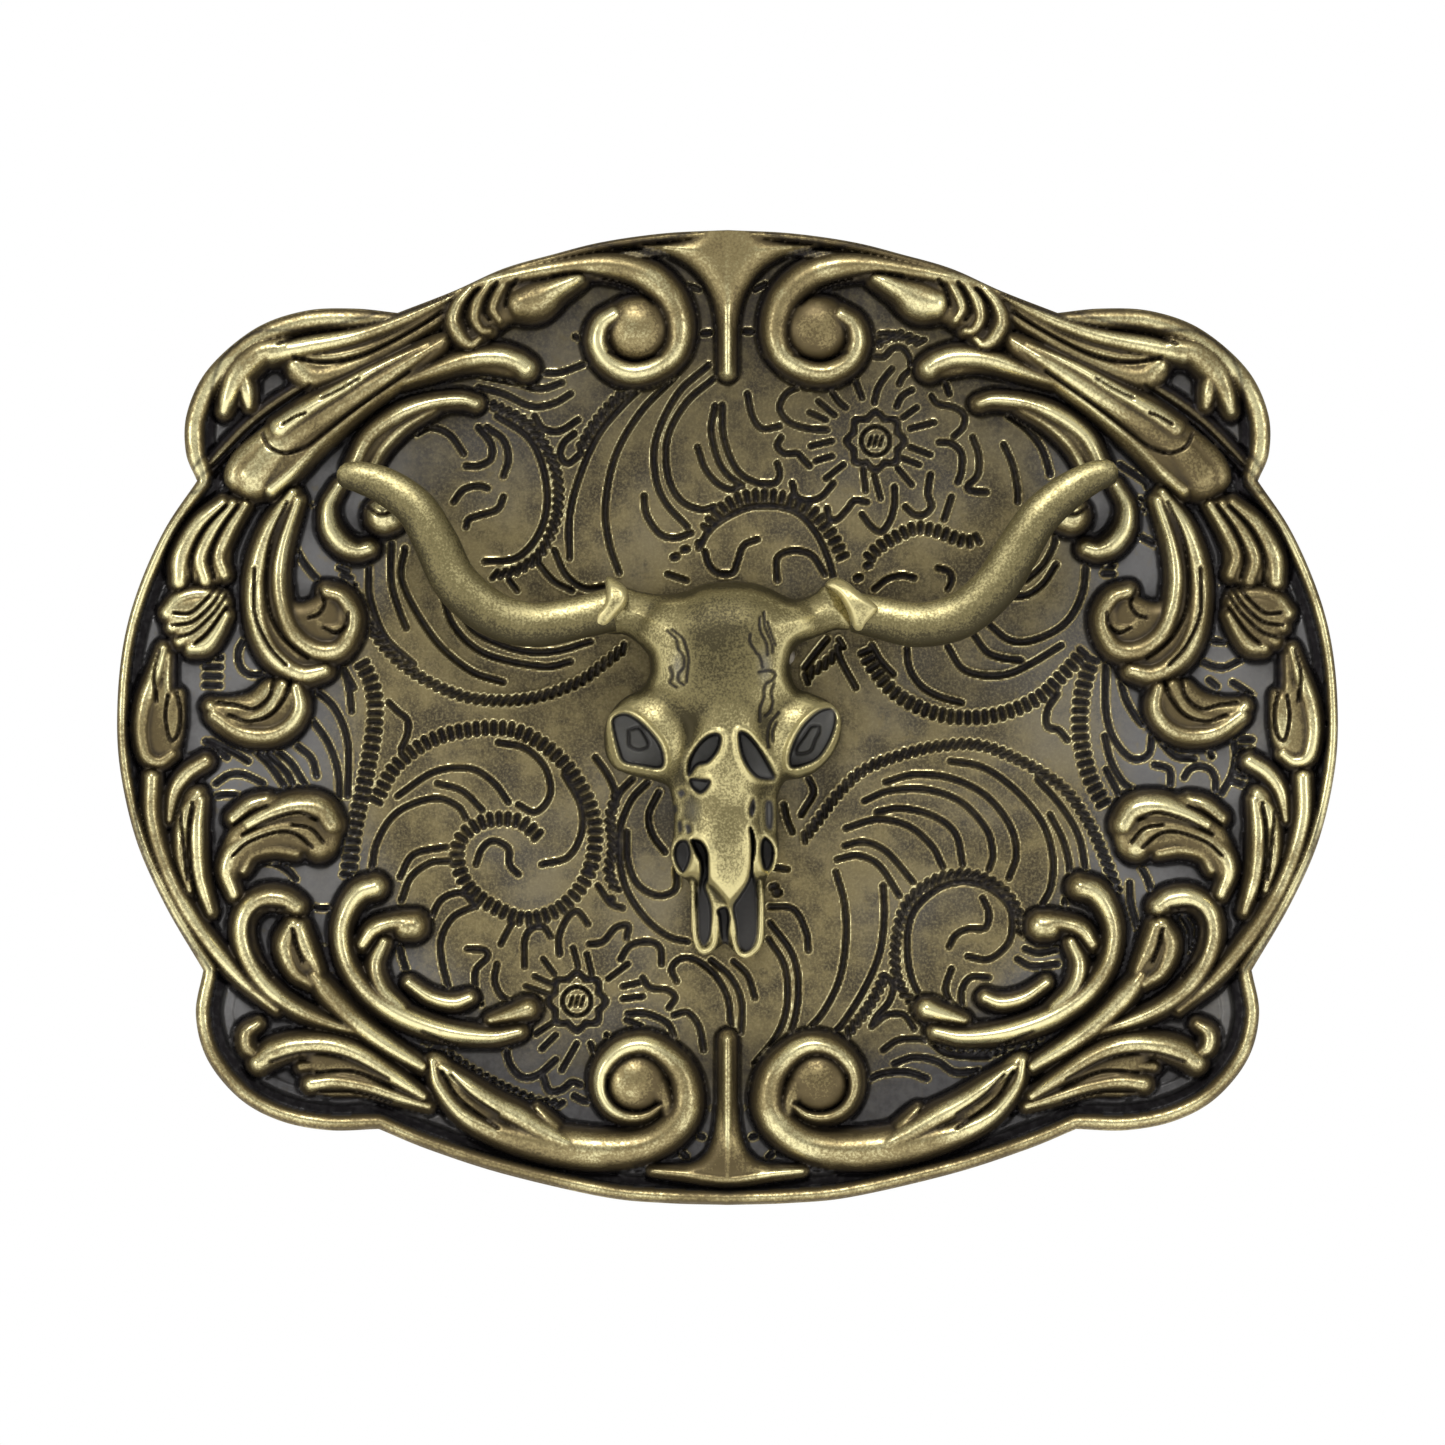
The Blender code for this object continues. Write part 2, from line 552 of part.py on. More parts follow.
def make_hook_stud():
    """Peg that takes the belt's punched hole: flange and shank upright, post leaning outwards."""
    seat = STUD_BOSS_HEIGHT + GAP
    top = seat + STUD_FLANGE_HEIGHT
    base = [(0, top), (STUD_FLANGE_RADIUS - 0.5, top), (STUD_FLANGE_RADIUS, top - 0.4),
            (STUD_FLANGE_RADIUS, seat), (STUD_SHANK_RADIUS, seat),
            (STUD_SHANK_RADIUS, seat - STUD_SHANK_LENGTH), (0, seat - STUD_SHANK_LENGTH)]
    stud = turned("hook_stud", base, buckle)
    stud.matrix_world = Matrix.Translation(place(STUD_X, 0, 0)) @ backwards()
    stud = to_mesh(stud, buckle)
    length = STUD_POST_LENGTH
    tip = STUD_TIP_RADIUS
    foot = STUD_FLANGE_HEIGHT * 0.6
    post = [(0, length), (tip * 0.6, length - 0.25), (tip * 0.95, length - 0.8), (tip, length - 1.3),
            (STUD_POST_RADIUS, length - 2.2), (STUD_POST_RADIUS, foot), (0, foot)]
    peg = turned("stud_post", post, tools)
    lean = Matrix.Rotation(STUD_LEAN, 4, "Z")
    peg.matrix_world = Matrix.Translation(place(STUD_X, 0, -seat)) @ lean @ backwards()
    join(stud, to_mesh(peg, tools))
    finish_node(stud, BRASS_WORN, 0.35, 0.9)
    set_origin(stud, place(STUD_X, 0, 0))


clear_scene()
buckle = make_collection("belt_buckle")
tools = make_collection("cutters")
make_face_plate()
make_skull_badge()
for screw_side, (screw_x, screw_z) in SCREWS.items():
    make_screw(screw_side, screw_x, screw_z)
make_bail()
make_bail_pin()
make_hook_stud()
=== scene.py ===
"""The belt buckle's looks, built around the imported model.

Lengths in this file are millimetres until they reach Blender, and become metres through MM.  On
the buckle, x runs to the right seen from the front, z runs up, and a height is a distance
forwards from the flat back, so a point lies at (x, -height, z).  The plate's front and back, the
skull and its collars are reliefs: height maps drawn on a regular grid and turned into closed
meshes.  Engraved lines are first drawn as a distance from them, which then gives both the cut
and the lip beside it.
"""

import math
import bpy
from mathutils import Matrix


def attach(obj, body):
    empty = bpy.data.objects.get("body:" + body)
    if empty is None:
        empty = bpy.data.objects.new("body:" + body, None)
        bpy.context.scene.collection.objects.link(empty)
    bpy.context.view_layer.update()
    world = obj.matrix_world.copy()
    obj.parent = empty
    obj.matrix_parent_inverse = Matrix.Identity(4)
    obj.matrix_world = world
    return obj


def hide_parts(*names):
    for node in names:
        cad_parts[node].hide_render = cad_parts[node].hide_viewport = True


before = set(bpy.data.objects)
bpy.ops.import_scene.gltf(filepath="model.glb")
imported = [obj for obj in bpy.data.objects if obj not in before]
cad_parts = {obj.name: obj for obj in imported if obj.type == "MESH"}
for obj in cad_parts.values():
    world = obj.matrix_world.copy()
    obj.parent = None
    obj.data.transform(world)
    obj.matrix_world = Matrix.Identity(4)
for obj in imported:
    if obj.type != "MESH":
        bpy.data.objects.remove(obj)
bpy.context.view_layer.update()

from types import SimpleNamespace

import bmesh
import bpy
import numpy as np
from mathutils import Matrix, Vector

MM = 0.001

# ---------------------------------------------------------------------------------------------
# Curves

# Spacing of the points that the brushes step through.
RIDGE_PITCH = 0.12
BODY_PITCH = 0.25
LINE_PITCH = 0.08
FINE_PITCH = 0.05

# Half width from which a ridge has its full rise.
FULL_WIDTH = 0.8


def smooth_path(points, spacing, closed=False):
    """Points along a Catmull-Rom curve through POINTS, about SPACING apart, all columns alike."""
    points = np.asarray(points, float)
    if len(points) == 2:
        count = max(2, int(np.linalg.norm(points[1, :2] - points[0, :2]) / spacing) + 1)
        return points[0] + (points[1] - points[0]) * np.linspace(0, 1, count)[:, None]
    if closed:
        ends = np.vstack([points[-1:], points, points[:2]])
    else:
        ends = np.vstack([2 * points[0] - points[1], points, 2 * points[-1] - points[-2]])
    parts = []
    for i in range(1, len(ends) - 2):
        a, b, c, d = ends[i - 1:i + 3]
        steps = max(2, int(np.linalg.norm(c[:2] - b[:2]) / spacing) + 1)
        t = np.linspace(0, 1, steps, endpoint=False)[:, None]
        parts.append(0.5 * (2 * b + (c - a) * t + (2 * a - 5 * b + 4 * c - d) * t ** 2
                            + (3 * b - a - 3 * c + d) * t ** 3))
    if not closed:
        parts.append(points[-1:])
    return np.vstack(parts)


def even_path(points, pitch):
    """Points exactly PITCH apart along the smooth curve, with the direction at each."""
    fine = smooth_path(points, FINE_PITCH)
    along = np.concatenate([[0], np.cumsum(np.linalg.norm(np.diff(fine[:, :2], axis=0), axis=1))])
    count = max(2, int(round(along[-1] / pitch)))
    where = (np.arange(count) + 0.5) * along[-1] / count
    spots = np.stack([np.interp(where, along, fine[:, k]) for k in range(2)], axis=1)
    nearby = 2 * FINE_PITCH
    ahead = np.stack([np.interp(where + nearby, along, fine[:, k]) for k in range(2)], axis=1)
    behind = np.stack([np.interp(where - nearby, along, fine[:, k]) for k in range(2)], axis=1)
    return spots, ahead - behind


# ---------------------------------------------------------------------------------------------
# Height maps


def smooth_step(t):
    t = np.clip(t, 0, 1)
    return t * t * (3 - 2 * t)


def rising(value, start, length):
    """0 up to START, then smoothly up to 1 over LENGTH."""
    return smooth_step((value - start) / length)


def falling(value, end, length):
    """1 at first, then smoothly down to 0 over the last LENGTH before END."""
    return smooth_step((end - value) / length)


def blurred(values, radius):
    """Gaussian blur of a 2D array, RADIUS in cells."""
    reach = int(3 * radius) + 1
    kernel = np.exp(-0.5 * (np.arange(-reach, reach + 1) / radius) ** 2)
    kernel /= kernel.sum()
    for axis in (0, 1):
        margins = [(reach, reach) if k == axis else (0, 0) for k in (0, 1)]
        padded = np.pad(values, margins, mode="edge")
        total = np.zeros_like(values)
        for k, weight in enumerate(kernel):
            part = padded[k:k + values.shape[0]] if axis == 0 else padded[:, k:k + values.shape[1]]
            total += weight * part
        values = total
    return values


class Grid:
    """A regular grid of points over a rectangle, and the brushes that draw on it."""

    def __init__(self, xs, zs, step):
        self.xs, self.zs, self.step = xs, zs, step
        self.x, self.z = np.meshgrid(xs, zs)
        self.shape = self.x.shape

    def full(self, value):
        return np.full(self.shape, float(value))

    def window(self, x, z, reach):
        """Slices of the grid within REACH of a point."""
        c0 = max(0, int((x - reach - self.xs[0]) / self.step))
        c1 = min(self.shape[1], int((x + reach - self.xs[0]) / self.step) + 2)
        r0 = max(0, int((z - reach - self.zs[0]) / self.step))
        r1 = min(self.shape[0], int((z + reach - self.zs[0]) / self.step) + 2)
        return slice(r0, r1), slice(c0, c1)

    def ridge(self, layer, points, rise, swell=0.0, thinning=0.6):
        """Raise LAYER along a tapered rounded ridge; POINTS are (x, z, half width).

        SWELL widens it all along, and THINNING is how much lower it is where it is thin: a ridge
        has its full RISE from FULL_WIDTH on.
        """
        for x, z, width in smooth_path(points, RIDGE_PITCH):
            width += swell
            rows, cols = self.window(x, z, width)
            away = (self.x[rows, cols] - x) ** 2 + (self.z[rows, cols] - z) ** 2
            top = rise * min(1.0, width / FULL_WIDTH) ** thinning
            bump = top * np.sqrt(np.clip(1 - away / width ** 2, 0, 1))
            np.maximum(layer[rows, cols], bump, out=layer[rows, cols])

    def body(self, layer, points, rise, shoulder):
        """Raise LAYER over a closed outline, rounded over SHOULDER in from its edge."""
        outline = smooth_path(points, BODY_PITCH, closed=True)
        low, high = outline.min(axis=0), outline.max(axis=0)
        middle, reach = (low + high) / 2, (high - low).max() / 2 + self.step
        rows, cols = self.window(*middle, reach)
        patch = Grid(self.xs[cols], self.zs[rows], self.step)
        depth = np.clip(distance_inside(patch, outline) / shoulder, 0, 1)
        dome = rise * np.sqrt(1 - (1 - depth) ** 2)
        np.maximum(layer[rows, cols], dome, out=layer[rows, cols])

    def engrave(self, edge, points, half_width):
        """Lower EDGE, the distance outside the engraved lines, along one line."""
        reach = half_width + LIP_REACH
        for x, z in smooth_path(points, LINE_PITCH)[:, :2]:
            rows, cols = self.window(x, z, reach)
            away = np.hypot(self.x[rows, cols] - x, self.z[rows, cols] - z) - half_width
            np.minimum(edge[rows, cols], away, out=edge[rows, cols])

    def dash(self, edge, x, z, direction, half_length, half_width):
        """Lower EDGE over one short straight cut."""
        reach = half_length + half_width + LIP_REACH
        rows, cols = self.window(x, z, reach)
        dx, dz = self.x[rows, cols] - x, self.z[rows, cols] - z
        ux, uz = np.asarray(direction) / np.hypot(*direction)
        along = np.clip(dx * ux + dz * uz, -half_length, half_length)
        away = np.hypot(dx - along * ux, dz - along * uz) - half_width
        np.minimum(edge[rows, cols], away, out=edge[rows, cols])

    def lump(self, layer, x, z, radii, lean, rise, fullness=0.5):
        """Raise LAYER by an ellipsoidal dome whose long axis leans LEAN degrees off upright."""
        reach = max(radii)
        rows, cols = self.window(x, z, reach)
        dx, dz = self.x[rows, cols] - x, self.z[rows, cols] - z
        s, c = math.sin(math.radians(lean)), math.cos(math.radians(lean))
        across, up = (dx * c - dz * s) / radii[0], (dx * s + dz * c) / radii[1]
        bump = rise * np.clip(1 - across ** 2 - up ** 2, 0, 1) ** fullness
        np.maximum(layer[rows, cols], bump, out=layer[rows, cols])


def even_grid(low_x, high_x, low_z, high_z, step):
    xs = np.arange(low_x, high_x + step / 2, step)
    zs = np.arange(low_z, high_z + step / 2, step)
    return Grid(xs, zs, step)


def distance_inside(grid, outline):
    """Signed distance from each grid point to a closed OUTLINE, positive inside, up to a reach."""
    nearest = np.full(grid.shape, np.inf)
    reach = 6.0
    for (x0, z0), (x1, z1) in zip(outline, np.roll(outline, -1, axis=0)):
        rows, cols = grid.window((x0 + x1) / 2, (z0 + z1) / 2, reach)
        dx, dz = grid.x[rows, cols] - x0, grid.z[rows, cols] - z0
        ex, ez = x1 - x0, z1 - z0
        t = np.clip((dx * ex + dz * ez) / (ex * ex + ez * ez), 0, 1)
        away = np.hypot(dx - t * ex, dz - t * ez)
        np.minimum(nearest[rows, cols], away, out=nearest[rows, cols])
    inside = np.zeros(grid.shape, bool)
    for (x0, z0), (x1, z1) in zip(outline, np.roll(outline, -1, axis=0)):
        if z0 == z1:
            continue
        between = (grid.z >= min(z0, z1)) & (grid.z < max(z0, z1))
        inside ^= between & (grid.x < x0 + (grid.z - z0) * (x1 - x0) / (z1 - z0))
    return np.where(inside, np.minimum(nearest, reach), -np.minimum(nearest, reach))


def snapped(grid, inside):
    """The grid's x and z, with the points close to the outline moved onto it."""
    slope_z, slope_x = np.gradient(inside, grid.step)
    length = np.maximum(np.hypot(slope_x, slope_z), 1e-6)
    near_edge = inside < 0.3 * grid.step
    shift = np.where(near_edge, np.clip(inside, -1.5 * grid.step, 1.5 * grid.step), 0)
    return grid.x - shift * slope_x / length, grid.z - shift * slope_z / length


def kept_cells(grid, inside):
    """A quad for every cell whose middle is inside, and the edges round them all."""
    middle = (inside[:-1, :-1] + inside[1:, :-1] + inside[:-1, 1:] + inside[1:, 1:]) / 4
    kept = middle > 0
    number = np.arange(grid.x.size).reshape(grid.shape)
    corners = [number[:-1, :-1], number[:-1, 1:], number[1:, 1:], number[1:, :-1]]
    faces = np.stack([corner[kept] for corner in corners], axis=1)
    outside = np.pad(~kept, 1, constant_values=True)
    beyond = [outside[:-2, 1:-1], outside[1:-1, 2:], outside[2:, 1:-1], outside[1:-1, :-2]]
    edges = []
    for side in range(4):
        where = kept & beyond[side]
        ends = [corners[side][where], corners[(side + 1) % 4][where]]
        edges.append(np.stack(ends, axis=1))
    return faces, np.vstack(edges)


def relief_mesh(name, grid, height, inside, floor, paints, fan_lid=False):
    """A closed mesh of HEIGHT where INSIDE is positive, with a wall down to FLOOR and a flat back.

    PAINTS are named height-map sized arrays that become point attributes for the material.  The
    back repeats the grid, or with FAN_LID is a fan of triangles round one point.
    """
    x, z = snapped(grid, inside)
    faces, edges = kept_cells(grid, inside)
    used = np.unique(faces)
    rank = np.full(grid.x.size, -1)
    rank[used] = np.arange(len(used))
    faces, edges = rank[faces], rank[edges]
    one, other = edges.T
    top = np.stack([x.ravel()[used], -height.ravel()[used], z.ravel()[used]], axis=1)
    if fan_lid:
        ring = np.unique(edges)
        lower = top[ring].copy()
        lower[:, 1] = -floor
        below = np.full(len(used), -1)
        below[ring] = len(top) + np.arange(len(ring))
        centre = np.array([[0, -floor, 0]])
        verts = np.vstack([top, lower, centre])
        hub = len(verts) - 1
        hubs = np.full(len(edges), hub)
        lid = np.stack([below[other], below[one], hubs], axis=1)
        sources = np.concatenate([np.arange(len(used)), ring, ring[:1]])
    else:
        lower = top.copy()
        lower[:, 1] = -floor
        below = len(top) + np.arange(len(used))
        verts = np.vstack([top, lower])
        lid = below[faces[:, ::-1]]
        sources = np.concatenate([np.arange(len(used)), np.arange(len(used))])
    wall = np.stack([other, one, below[one], below[other]], axis=1)
    mesh = bpy.data.meshes.new(name)
    mesh.from_pydata(verts * MM, [], faces.tolist() + wall.tolist() + lid.tolist())
    mesh.shade_smooth()
    mesh.set_sharp_from_angle(angle=math.radians(70))
    for title, values in paints.items():
        attribute = mesh.attributes.new(title, "FLOAT", "POINT")
        attribute.data.foreach_set("value", values.ravel()[used][sources].astype(np.float32))
    obj = bpy.data.objects.new(name, mesh)
    bpy.context.scene.collection.objects.link(obj)
    return obj


# ---------------------------------------------------------------------------------------------
# Solid pieces

# Turns a profile about +Z so that it points backwards, along +Y.
BACKWARDS = Matrix.Rotation(-math.pi / 2, 4, "X")


def new_piece(name, verts, faces, sharp=40):
    """An object from points in millimetres, smooth but for edges of over SHARP degrees."""
    mesh = bpy.data.meshes.new(name)
    mesh.from_pydata(np.asarray(verts) * MM, [], faces)
    shape = bmesh.new()
    shape.from_mesh(mesh)
    bmesh.ops.remove_doubles(shape, verts=shape.verts, dist=0.001 * MM)
    bmesh.ops.recalc_face_normals(shape, faces=shape.faces)
    shape.to_mesh(mesh)
    shape.free()
    mesh.shade_smooth()
    mesh.set_sharp_from_angle(angle=math.radians(sharp))
    obj = bpy.data.objects.new(name, mesh)
    bpy.context.scene.collection.objects.link(obj)
    return obj


def loft(rings, count, rings_close=False, count_closes=True):
    """Quads that join RINGS rings of COUNT points each; either way round may close."""
    faces = []
    for i in range(rings if rings_close else rings - 1):
        here, there = i * count, (i + 1) % rings * count
        for k in range(count if count_closes else count - 1):
            j = (k + 1) % count
            faces.append((here + k, here + j, there + j, there + k))
    return faces


def end_caps(rings, count):
    """One face over the first ring and one over the last."""
    return [tuple(range(count)), tuple(range((rings - 1) * count, rings * count))]


def ring_solid(name, outer, inner, low, high, chamfer, sides=96):
    """A ring about +Z: OUTER gives the radius at each angle, INNER is the bore's radius."""
    stations = [
        (0, 0, low + chamfer), (0, chamfer, low), (1, -chamfer, low), (1, 0, low + chamfer),
        (1, 0, high - chamfer), (1, -chamfer, high), (0, chamfer, high), (0, 0, high - chamfer),
    ]
    verts = []
    for k in range(sides):
        angle = 2 * math.pi * k / sides
        for side, shift, z in stations:
            radius = (outer(angle) if side else inner) + shift
            verts.append((radius * math.cos(angle), radius * math.sin(angle), z))
    return new_piece(name, verts, loft(sides, len(stations), rings_close=True))


def turned(name, profile, sides=48):
    """A solid of revolution about +Z from (radius, z) pairs; radius 0 closes an end."""
    verts = []
    for k in range(sides):
        angle = 2 * math.pi * k / sides
        verts += [(r * math.cos(angle), r * math.sin(angle), z) for r, z in profile]
    hollow = profile[0][0] > 0
    faces = loft(sides, len(profile), rings_close=True, count_closes=hollow)
    return new_piece(name, verts, faces)


def move(obj, x, y, z, turn=None):
    """Turn the mesh by a matrix, if one is given, then shift it."""
    matrix = Matrix.Translation((x * MM, y * MM, z * MM))
    obj.data.transform(matrix @ turn if turn else matrix)
    return obj


def combine(obj, tool, operation):
    """Apply a boolean of OBJ with TOOL and remove the tool."""
    modifier = obj.modifiers.new(operation, "BOOLEAN")
    modifier.operation = operation
    modifier.solver = "EXACT"
    modifier.object = tool
    bpy.context.view_layer.update()
    cut = obj.evaluated_get(bpy.context.evaluated_depsgraph_get())
    result = bpy.data.meshes.new_from_object(cut)
    obj.modifiers.clear()
    obj.data = result
    bpy.data.objects.remove(tool, do_unlink=True)


def smooth_by_angle(obj, degrees):
    obj.data.shade_smooth()
    obj.data.set_sharp_from_angle(angle=math.radians(degrees))


def swept(name, path, half_width, half_depth, sides=20, squareness=3.2):
    """A bar with a rounded-rectangle section along a PATH of (x, z), closed at both ends."""
    path = np.asarray(path, float)
    ahead = np.gradient(path, axis=0)
    ahead /= np.linalg.norm(ahead, axis=1)[:, None]
    verts = []
    for (x, z), (ax, az) in zip(path, ahead):
        for k in range(sides):
            angle = 2 * math.pi * k / sides
            c, s = math.cos(angle), math.sin(angle)
            across = half_width * math.copysign(abs(c) ** (2 / squareness), c)
            depth = half_depth * math.copysign(abs(s) ** (2 / squareness), s)
            verts.append((x - az * across, depth, z + ax * across))
    faces = loft(len(path), sides) + end_caps(len(path), sides)
    return new_piece(name, verts, faces, 50)


def bar_block(low, high):
    """A plain block, used as a cutter."""
    verts = [(x, y, z) for x in (low[0], high[0]) for y in (low[1], high[1]) for z in (low[2], high[2])]
    faces = [(0, 1, 3, 2), (4, 6, 7, 5), (0, 4, 5, 1), (2, 3, 7, 6), (0, 2, 6, 4), (1, 5, 7, 3)]
    return new_piece("cutter", verts, faces)


def paint_all(obj, wear_and_painted_light):
    """The four paints of a piece without cuts; WEAR_AND_PAINTED_LIGHT is one value or one for
    each point.
    """
    for title, value in {"wear_and_painted_light": wear_and_painted_light, "scroll": 1.0, "soot_and_shade": 0.0, "grey": 0.0}.items():
        values = np.full(len(obj.data.vertices), value, np.float32)
        obj.data.attributes.new(title, "FLOAT", "POINT").data.foreach_set("value", values)


def add_piece(obj, material, body, node):
    """Give a finished piece its material, its body and what it stands for."""
    obj.data.materials.clear()
    obj.data.materials.append(material)
    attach(obj, body)
    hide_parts(node)


# ---------------------------------------------------------------------------------------------
# Materials


class Shader:
    """Short helpers for building one node material."""

    def __init__(self, name, roughness, metallic):
        self.material = bpy.data.materials.new(name)
        self.material.use_nodes = True
        self.tree = self.material.node_tree
        self.shader = self.tree.nodes["Principled BSDF"]
        self.shader.inputs["Roughness"].default_value = roughness
        self.shader.inputs["Metallic"].default_value = metallic

    def node(self, kind, **settings):
        made = self.tree.nodes.new(kind)
        for key, value in settings.items():
            setattr(made, key, value)
        return made

    def link(self, source, target):
        self.tree.links.new(source, target)

    def paint(self, title):
        return self.node("ShaderNodeAttribute", attribute_name=title).outputs["Fac"]

    def noise(self, scale, detail=4.0, roughness=0.55, stretch=None):
        position = self.node("ShaderNodeTexCoord").outputs["Object"]
        if stretch:
            mapping = self.node("ShaderNodeMapping")
            mapping.inputs["Scale"].default_value = stretch
            self.link(position, mapping.inputs["Vector"])
            position = mapping.outputs["Vector"]
        made = self.node("ShaderNodeTexNoise")
        made.inputs["Scale"].default_value = scale
        made.inputs["Detail"].default_value = detail
        made.inputs["Roughness"].default_value = roughness
        self.link(position, made.inputs["Vector"])
        return made.outputs["Fac"]

    def math(self, operation, a, b=0.0, clamp=False):
        made = self.node("ShaderNodeMath", operation=operation, use_clamp=clamp)
        for socket, value in zip(made.inputs, (a, b)):
            if isinstance(value, (int, float)):
                socket.default_value = value
            else:
                self.link(value, socket)
        return made.outputs[0]

    def span(self, value, low, high, new_low=0.0, new_high=1.0):
        made = self.node("ShaderNodeMapRange", clamp=True, interpolation_type="SMOOTHSTEP")
        for socket, number in zip(list(made.inputs)[1:5], (low, high, new_low, new_high)):
            socket.default_value = number
        self.link(value, made.inputs[0])
        return made.outputs[0]

    def mix(self, factor, a, b):
        made = self.node("ShaderNodeMix", data_type="RGBA")
        for socket, value in ((made.inputs[0], factor), (made.inputs[6], a), (made.inputs[7], b)):
            if isinstance(value, (int, float)):
                socket.default_value = value
            elif isinstance(value, tuple):
                socket.default_value = (*value, 1.0)
            else:
                self.link(value, socket)
        return made.outputs[2]

    def bump(self, height, strength, distance):
        made = self.node("ShaderNodeBump")
        made.inputs["Strength"].default_value = strength
        made.inputs["Distance"].default_value = distance
        self.link(height, made.inputs["Height"])
        self.link(made.outputs["Normal"], self.shader.inputs["Normal"])


# Black of the patina in the cuts, also used for painted shade.
SOOT_AND_SHADE_BLACK = (0.010, 0.008, 0.009)
FIELD_DARK = (0.058, 0.046, 0.026)
FIELD_BRIGHT = (0.28, 0.232, 0.115)
FIELD_LIGHT = (0.190, 0.152, 0.070)
GROUND_GREY = (0.152, 0.149, 0.147)
BRASS_DARK = (0.105, 0.078, 0.034)
BRASS_MID = (0.238, 0.188, 0.084)
BRASS_BRIGHT = (0.76, 0.69, 0.375)


def antique_brass(name, roughness=0.40, metallic=0.75):
    """Brass plate with black left in the cuts, a mottled brown field and rubbed bright edges.

    It reads four paints: wear_and_painted_light (0 recess to 1 rubbed crest, with a painted
    highlight on some edges), scroll (1 on raised work), soot_and_shade (1 in a cut, with painted
    shade in creases and round the scrolls) and grey (1 on the dull ground beyond the field).
    """
    look = Shader(name, roughness, metallic)
    mottle = look.noise(240, detail=8, roughness=0.72)
    cloud = look.noise(55, detail=3)
    grain = look.noise(1800, detail=2)
    grit = look.noise(4600, detail=2, roughness=0.6)
    patches = look.noise(130, detail=3, roughness=0.6)
    scratch = look.math("MAXIMUM", look.noise(420, detail=4, roughness=0.7, stretch=(1.0, 1.0, 0.06)),
                        look.noise(380, detail=4, roughness=0.7, stretch=(0.07, 1.0, 1.0)))
    specks = look.noise(900, detail=3, roughness=0.6)
    field = look.mix(look.span(mottle, 0.40, 0.62), FIELD_DARK, FIELD_LIGHT)
    field = look.mix(look.span(grit, 0.42, 0.70, 0.0, 0.50), field, FIELD_BRIGHT)
    field = look.mix(look.span(cloud, 0.45, 0.75, 0.0, 0.45), field, GROUND_GREY)
    dull = look.math("MULTIPLY", look.paint("grey"), look.span(cloud, 0.1, 0.6, 0.70, 1.0))
    field = look.mix(dull, field, GROUND_GREY)
    wear_and_painted_light = look.math("ADD", look.paint("wear_and_painted_light"), look.span(grit, 0.3, 0.7, -0.11, 0.11))
    uneven = look.math("MULTIPLY", look.paint("scroll"), look.span(patches, 0.35, 0.65, -0.20, 0.16))
    wear_and_painted_light = look.math("ADD", wear_and_painted_light, uneven)
    metal = look.mix(look.paint("scroll"), field, BRASS_DARK)
    metal = look.mix(look.span(wear_and_painted_light, 0.44, 0.70), metal, BRASS_MID)
    metal = look.mix(look.span(wear_and_painted_light, 0.68, 1.12), metal, BRASS_BRIGHT)
    metal = look.mix(look.span(scratch, 0.68, 0.78, 0.0, 0.45), metal, BRASS_MID)
    metal = look.mix(look.span(specks, 0.60, 0.72, 0.0, 0.35), metal, BRASS_MID)
    soot_and_shade = look.math("ADD", look.paint("soot_and_shade"), look.span(grain, 0.3, 0.7, -0.08, 0.08), clamp=True)
    colour = look.mix(soot_and_shade, metal, SOOT_AND_SHADE_BLACK)
    look.link(colour, look.shader.inputs["Base Color"])
    polish = look.span(wear_and_painted_light, 0.45, 1.0, roughness + 0.12, roughness - 0.10)
    rough = look.math("ADD", polish, look.span(grain, 0.3, 0.7, -0.05, 0.05))
    look.link(rough, look.shader.inputs["Roughness"])
    look.bump(grain, 0.10, 0.00006)
    return look.material


SKULL_DARK = (0.050, 0.041, 0.018)
SKULL_MID = (0.165, 0.138, 0.060)
SKULL_PALE = (0.56, 0.49, 0.24)
SKULL_GREY = (0.120, 0.118, 0.112)


def worn_brass(name):
    """The badge's even olive brass, paler on its crests, grey where the plating has gone dull; on
    the horns the pale crest is a painted highlight.
    """
    look = Shader(name, 0.5, 0.75)
    mottle = look.noise(260, detail=6, roughness=0.6)
    grain = look.noise(2200, detail=2)
    grit = look.noise(5200, detail=2, roughness=0.6)
    wear_and_painted_light = look.math("ADD", look.paint("wear_and_painted_light"), look.span(mottle, 0.3, 0.7, -0.07, 0.07))
    wear_and_painted_light = look.math("ADD", wear_and_painted_light, look.span(grit, 0.3, 0.7, -0.12, 0.12))
    metal = look.mix(look.span(wear_and_painted_light, 0.20, 0.52), SKULL_DARK, SKULL_MID)
    metal = look.mix(look.span(wear_and_painted_light, 0.52, 0.95), metal, SKULL_PALE)
    metal = look.mix(look.paint("grey"), metal, SKULL_GREY)
    colour = look.mix(look.paint("soot_and_shade"), metal, SOOT_AND_SHADE_BLACK)
    look.link(colour, look.shader.inputs["Base Color"])
    polish = look.span(wear_and_painted_light, 0.3, 1.0, 0.56, 0.42)
    rough = look.math("ADD", polish, look.span(grain, 0.3, 0.7, -0.05, 0.05))
    look.link(rough, look.shader.inputs["Roughness"])
    look.bump(grain, 0.16, 0.00006)
    return look.material


def steel(name, colour, dark):
    """Dull steel, spotted with DARK."""
    look = Shader(name, 0.38, 0.95)
    spots = look.noise(400, detail=5)
    fine = look.noise(2500, detail=2, stretch=(1.0, 1.0, 0.1))
    base = look.mix(look.span(spots, 0.35, 0.7), dark, colour)
    look.link(base, look.shader.inputs["Base Color"])
    look.link(look.span(spots, 0.3, 0.7, 0.30, 0.50), look.shader.inputs["Roughness"])
    look.bump(fine, 0.12, 0.00005)
    return look.material


# ---------------------------------------------------------------------------------------------
# Plate: sizes

